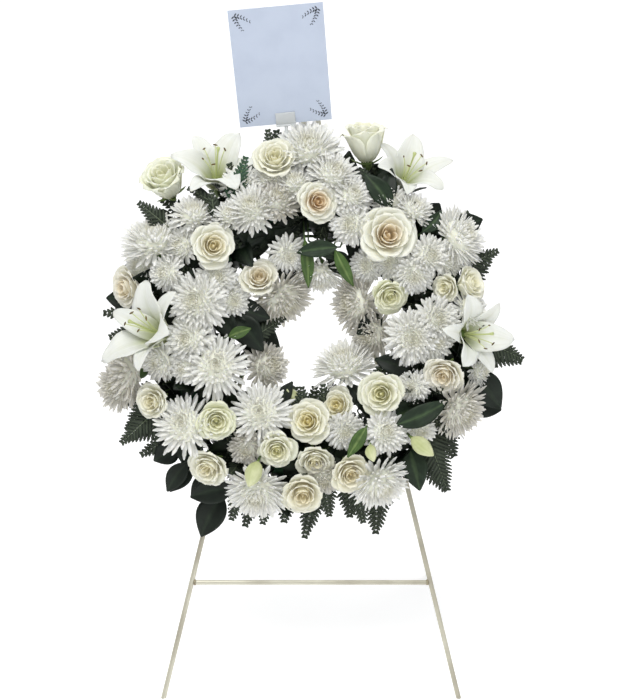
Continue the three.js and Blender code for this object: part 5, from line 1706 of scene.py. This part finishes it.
@dataclass
class Card:
    """The card and the clear pick that holds it, in millimetres."""

    palette: Palette
    width: float = 140
    height: float = 180
    thickness: float = 1.2
    base: tuple[float, float, float] = (-38, 316.6, 62)
    turn: float = math.radians(5.3)
    tip: float = math.radians(30)
    claw_width: float = 30
    claw_height: float = 18
    claw_wall: float = 1.8
    claw_floor: float = 4
    pick_radius: float = 2.6
    pick_foot: tuple[float, float, float] = (-38, 196, 34)
    border_inset: float = 9
    ink_lift: float = 0.12
    ink_thickness: float = 0.00008
    bow: float = 1.1
    rounding: float = 0.0006
    spray_leaves: int = 6
    spray_step: float = 0.0042
    spray_drift: float = 0.0009
    spray_leaf: float = 0.0056
    spray_taper: float = 0.0005

    def card_frame(self) -> Matrix:
        """Frame of the card, with its origin at the middle of its lower edge."""
        place = Matrix.Translation(Vector(self.base) * MM)
        return ring_frame() @ place @ Matrix.Rotation(self.turn, 4, "Z") @ Matrix.Rotation(self.tip, 4, "X")

    def block(self, size: Sequence[float], centre: Sequence[float]) -> tuple[list[Vector], list[tuple[int, ...]]]:
        """Corners and faces of a block in the card's frame, in metres."""
        half = [value / 2 for value in size]
        signs = [(x, y, z) for z in (-1, 1) for x, y in ((-1, -1), (1, -1), (1, 1), (-1, 1))]
        corners = [Vector([(c + s * h) * MM for c, s, h in zip(centre, sign, half)]) for sign in signs]
        faces = [(0, 3, 2, 1), (4, 5, 6, 7), (0, 1, 5, 4), (1, 2, 6, 5), (2, 3, 7, 6), (3, 0, 4, 7)]
        return corners, faces

    def build_card(self) -> None:
        """Make the card, very slightly bowed."""
        columns, rows = 13, 17
        across = np.linspace(-0.5, 0.5, columns) * self.width
        up = np.linspace(0, self.height, rows)
        x, y = np.meshgrid(across, up)
        bow = self.bow * (np.sin(math.pi * (x / self.width + 0.5)) - 0.5) * (y / self.height)
        grid = np.stack([x, y, bow * np.sin(math.pi * y / self.height)], axis=-1)[None] * MM
        tufts = Tufts()
        tufts.add_sheets(grid, self.thickness * MM, np.array(PLAIN), vein_places(1, rows, columns, np.zeros(1)))
        piece = tufts.build("memorial_card_sheet", [self.palette.card], self.card_frame())
        dress(piece, "card", "memorial_card")
        piece.data.set_sharp_from_angle(angle=math.radians(40))

    def build_border(self) -> None:
        """Make the small printed sprays in the card's corners, as thin films of ink."""
        tufts = Tufts()
        front = (self.thickness / 2 + self.ink_lift) * MM
        for hand_x in (-1, 1):
            for hand_y in (-1, 1):
                corner = np.array((hand_x * (self.width / 2 - self.border_inset),
                                   self.height / 2 + hand_y * (self.height / 2 - self.border_inset), 0)) * MM
                self.spray(tufts, corner, hand_x, hand_y, front)
        dress(tufts.build("card_corner_sprays", [self.palette.ink], self.card_frame()), "card")

    def spray(self, tufts: Tufts, corner: np.ndarray, hand_x: int, hand_y: int, front: float) -> None:
        """Add two curved sprigs of small leaves that leave a corner along its edges."""
        for turned in (False, True):
            for number in range(self.spray_leaves):
                reach = self.spray_step * number
                drift = self.spray_drift * number**1.5
                step_x, step_y = (drift, reach) if turned else (reach, drift)
                away = np.array((-hand_x * step_x, -hand_y * step_y, 0))
                place = corner + away
                for lean in (-0.9, 0.9):
                    angle = math.atan2(-hand_y, 0) if turned else math.atan2(0, -hand_x)
                    heading = np.array((math.cos(angle + lean), math.sin(angle + lean), 0))
                    size = self.spray_leaf - self.spray_taper * number
                    grid = self.flat_leaf(place, place + heading * size, size * 0.42, front)
                    tufts.add_sheets(grid, self.ink_thickness, np.array(PLAIN), np.zeros(3))

    @staticmethod
    def flat_leaf(start: np.ndarray, tip: np.ndarray, width: float, front: float) -> np.ndarray:
        """A flat pointed leaf on the card's face, as a grid of one sheet."""
        along = np.linspace(0, 1, 5)
        direction = tip - start
        side = np.array((-direction[1], direction[0], 0)) / np.linalg.norm(direction)
        half = np.maximum(width / 2 * np.sin(math.pi * along), 0.00006)
        centre = start + direction * along[:, None] + np.array((0, 0, front))
        return np.stack([centre - side * half[:, None], centre, centre + side * half[:, None]], axis=1)[None]

    def build_pick(self) -> None:
        """Make the clear claw and its stem."""
        gap = STAND.gap
        plate = self.thickness / 2 + gap + self.claw_wall / 2
        blocks = [
            self.block((self.claw_width, self.claw_height, self.claw_wall), (0, self.claw_height / 2, plate)),
            self.block((self.claw_width, self.claw_height, self.claw_wall), (0, self.claw_height / 2, -plate)),
            self.block((self.claw_width, self.claw_floor, self.thickness + 2 * (gap + self.claw_wall)),
                       (0, -self.claw_floor / 2 - gap, 0)),
        ]
        points: list[Vector] = []
        faces: list[tuple[int, ...]] = []
        for corners, quads in blocks:
            faces.extend(tuple(len(points) + index for index in quad) for quad in quads)
            points.extend(corners)
        claw = softened("card_pick_claw", points, faces, self.palette.clear, self.card_frame(), self.rounding)
        dress(claw, "clear", "card_pick")
        tufts = Tufts()
        top = ring_frame().inverted() @ (self.card_frame() @ Vector((0, -self.claw_floor * MM, 0)))
        foot = np.array(self.pick_foot) * MM
        path = bezier(foot, (foot + np.array(top)) / 2, np.array(top), 5)
        tufts.add_tube(path, np.full(len(path), self.pick_radius * MM), PLAIN, 16)
        dress(tufts.build("card_pick_stem", [self.palette.clear], ring_frame()), "clear")

    def build(self) -> None:
        """Make the card, its border and its pick."""
        self.build_card()
        self.build_border()
        self.build_pick()


# The stand


@dataclass
class Stand:
    """The wire stand."""

    palette: Palette
    sides: int = 24
    stations: int = 24
    head_sides: int = 36
    peg_bead: float = 0.0016
    bar_bead: float = 0.002
    bead_rise: float = 0.6
    bead_sink: float = 0.0002

    def rod(
        self, name: str, path: Sequence[Vector], radius: float, levels: tuple[float, float] | None
    ) -> bpy.types.Object:
        """Make a round rod along world points, cut level at both ends if levels are given.

        Args:
            name: The piece's name.
            path: World points, in metres.
            radius: Radius in metres.
            levels: Lowest and highest height of the rod, or None for square ends.

        Returns:
            The piece.
        """
        count = self.stations
        points = np.array([path[0].lerp(path[-1], k / (count - 1)) for k in range(count)])
        rings = tube_rings(points, np.full(count, radius), self.sides)
        if levels:
            axis = points[-1] - points[0]
            for row, level in ((0, levels[1]), (count - 1, levels[0])):
                shift = (level - rings[row][:, 2]) / axis[2]
                rings[row] = rings[row] + shift[:, None] * axis
        tufts = Tufts()
        tufts.add_rings(rings[None], np.array(PLAIN), np.zeros(3))
        piece = tufts.build(name, [self.palette.rod], Matrix.Identity(4))
        piece.data.set_sharp_from_angle(angle=math.radians(50))
        return piece

    def legs(self, label: str, lean: float, spread: float) -> None:
        """Make a pair of legs."""
        plane = leg_plane(lean)
        top_level = (STAND.apex_height - STAND.leg_top_drop) * MM
        for hand, side in (("left", -1), ("right", 1)):
            heading = (plane.to_3x3() @ Vector((side * spread, -1, 0))).normalized()
            apex = plane.translation
            start = apex + heading * ((top_level - apex.z) / heading.z)
            end = apex - heading * (apex.z / heading.z)
            name = f"{label}_leg_{hand}"
            dress(self.rod(f"{name}_rod", [start, end], STAND.rod_radius * MM, (0.0, top_level)), "rod", name)

    def peg(self, side: int) -> tuple[Vector, Vector]:
        """Foot and end of the peg that carries the ring, in the front legs' plane."""
        circle = RING.radius + RING.tray_half_width + STAND.gap + STAND.peg_radius
        spread, drop = STAND.front_spread, RING.drop
        a = 1 + spread**2
        b = 2 * spread**2 * drop
        c = (spread * drop) ** 2 - circle**2
        below = (-b + math.sqrt(b * b - 4 * a * c)) / (2 * a)
        foot = Vector((side * spread * (drop + below), -(drop + below), 0)) * MM
        return foot, foot + Vector((0, 0, STAND.rod_radius + STAND.gap + STAND.peg_length)) * MM

    def weld(self, tufts: Tufts, place: Vector, axis: Vector, radius: float, size: float) -> None:
        """Add a rounded bead round a rod, in world coordinates."""
        heights = np.linspace(-1, 1, 7)
        path = np.array([place + axis.normalized() * size * h for h in heights])
        radii = radius + size * self.bead_rise * np.sqrt(1 - heights**2) - self.bead_sink
        tufts.add_tube(path, radii, PLAIN, 16)

    def build(self) -> None:
        """Make the legs, the crossbar, the welded head, the pegs and the welds."""
        self.legs("front", STAND.lean, STAND.front_spread)
        self.legs("rear", -STAND.lean, STAND.rear_spread)
        plane = leg_plane(STAND.lean)
        reach = STAND.front_spread * STAND.crossbar_drop - STAND.rod_radius - STAND.gap
        ends = [plane @ (Vector((side * reach, -STAND.crossbar_drop, 0)) * MM) for side in (-1, 1)]
        dress(self.rod("crossbar_rod", ends, STAND.rod_radius * MM, None), "rod", "crossbar")
        beads = Tufts()
        for side in (-1, 1):
            foot, end = (plane @ point for point in self.peg(side))
            label = "left" if side < 0 else "right"
            dress(self.rod(f"ring_peg_{label}", [foot, end], STAND.peg_radius * MM, None), "rod")
            self.weld(beads, foot + (end - foot).normalized() * STAND.rod_radius * MM, end - foot,
                      STAND.peg_radius * MM, self.peg_bead)
            joint = plane @ (Vector((side * (reach - 1), -STAND.crossbar_drop, 0)) * MM)
            self.weld(beads, joint, plane.to_3x3() @ Vector((1, 0, 0)), STAND.rod_radius * MM, self.bar_bead)
        apex = plane.translation
        low = apex.z - (STAND.leg_top_drop - STAND.gap) * MM
        head = Tufts()
        heights = np.array((0, 0, 0.06, 0.94, 1, 1)) * STAND.collar_height * MM
        radii = np.array((0.2, 0.94, 1, 1, 0.94, 0.2)) * STAND.collar_radius * MM
        angles = np.linspace(0, 2 * math.pi, self.head_sides, endpoint=False)
        rings = np.array([[(apex.x + r * math.cos(a), apex.y + r * math.sin(a), low + h) for a in angles]
                          for h, r in zip(heights, radii)])
        head.add_rings(rings[None], np.array(PLAIN), np.zeros(3))
        piece = head.build("apex_collar_head", [self.palette.rod], Matrix.Identity(4))
        piece.data.set_sharp_from_angle(angle=math.radians(50))
        dress(piece, "rod", "apex_collar")
        dress(beads.build("weld_beads", [self.palette.weld], Matrix.Identity(4)), "rod")


# Studio


@dataclass
class Studio:
    """Camera, lights, floor and backdrop."""

    image: tuple[int, int] = (625, 700)
    millimetres_per_pixel: float = 1.5
    ring_centre: tuple[float, float] = (311, 331)
    bloom_plane: float = 85
    distance: float = 2130
    elevation: float = math.radians(14)
    sensor: float = 36
    aim: tuple[float, float, float] = (0, 0, 0.55)
    floor_front: float = -6.0
    floor_back: float = 2.2
    floor_half: float = 9.0
    floor_bend: float = 1.6
    wall_top: float = 7.0
    bend_steps: int = 24
    floor_glow: float = 0.35
    world_strength: float = 0.4

    def camera(self) -> None:
        """Put the camera where the photograph was taken from."""
        right = (self.image[0] / 2 - self.ring_centre[0]) * self.millimetres_per_pixel
        up = (self.ring_centre[1] - self.image[1] / 2) * self.millimetres_per_pixel
        target = ring_frame() @ (Vector((right, up, self.bloom_plane)) * MM)
        away = Vector((0, -math.cos(self.elevation), math.sin(self.elevation)))
        data = bpy.data.cameras.new("camera")
        data.sensor_width = self.sensor
        half = self.image[1] / 2 * self.millimetres_per_pixel
        data.lens = self.sensor / 2 * self.distance / half
        camera = in_scene("camera", data)
        camera.location = target + away * self.distance * MM
        camera.rotation_mode = "QUATERNION"
        camera.rotation_quaternion = (-away).to_track_quat("-Z", "Y")
        bpy.context.scene.camera = camera

    def light(
        self, name: str, place: tuple[float, float, float], size: float, power: float, colour: Colour
    ) -> None:
        """Add a soft square lamp that looks at the wreath."""
        data = bpy.data.lights.new(name, "AREA")
        data.size = size
        data.energy = power
        data.color = colour
        lamp = in_scene(name, data)
        lamp.location = place
        lamp.rotation_mode = "QUATERNION"
        lamp.rotation_quaternion = (Vector(self.aim) - Vector(place)).to_track_quat("-Z", "Y")

    def floor(self) -> None:
        """Add the pale floor, which curves up behind the stand."""
        back, bend, steps = self.floor_back, self.floor_bend, self.bend_steps
        profile = [(self.floor_front, 0.0), (back, 0.0)]
        profile += [(back + bend * math.sin(a), bend - bend * math.cos(a))
                    for a in (math.pi / 2 * k / steps for k in range(1, steps + 1))]
        profile.append((back + bend, self.wall_top))
        points = [(x, y, z) for y, z in profile for x in (-self.floor_half, self.floor_half)]
        faces = [(2 * k, 2 * k + 1, 2 * k + 3, 2 * k + 2) for k in range(len(profile) - 1)]
        mesh = bpy.data.meshes.new("floor")
        mesh.from_pydata(points, [], faces)
        mesh.polygons.foreach_set("use_smooth", [True] * len(faces))
        material = bpy.data.materials.new("pale_floor")
        material.use_nodes = True
        surface = material.node_tree.nodes["Principled BSDF"]
        surface.inputs["Base Color"].default_value = (0.9, 0.9, 0.9, 1)
        surface.inputs["Roughness"].default_value = 0.9
        surface.inputs["Emission Color"].default_value = (1, 1, 1, 1)
        surface.inputs["Emission Strength"].default_value = self.floor_glow
        mesh.materials.append(material)
        in_scene("floor", mesh)

    def build(self) -> None:
        """Make the whole studio."""
        self.camera()
        self.floor()
        self.light("key", (-0.5, -1.9, 3.6), 2.0, 78, (1.0, 0.995, 0.97))
        self.light("fill", (1.6, -3.2, 1.2), 2.4, 14, (0.97, 0.98, 1.0))
        self.light("back", (0.6, 2.0, 2.8), 1.8, 26, (1.0, 1.0, 1.0))
        world = bpy.data.worlds.new("studio")
        world.use_nodes = True
        backdrop = world.node_tree.nodes["Background"]
        backdrop.inputs["Color"].default_value = (0.97, 0.98, 1.0, 1)
        backdrop.inputs["Strength"].default_value = self.world_strength
        bpy.context.scene.world = world
        bpy.context.scene.view_settings.view_transform = "Standard"


def main() -> None:
    """Build the wreath, its card, its stand and the studio, in order."""
    logging.basicConfig(level=logging.INFO, format="%(name)s: %(message)s")
    palette = Palette()
    Studio().build()
    Stand(palette).build()
    RingBody(palette).build()
    Card(palette).build()
    wreath = Wreath(palette)
    wreath.build_blooms()
    wreath.build_stems()
    wreath.build_greens()
    wreath.build_front_leaves()
    wreath.build_loose()
    wreath.build_filling()


if __name__ == "__main__":
    main()
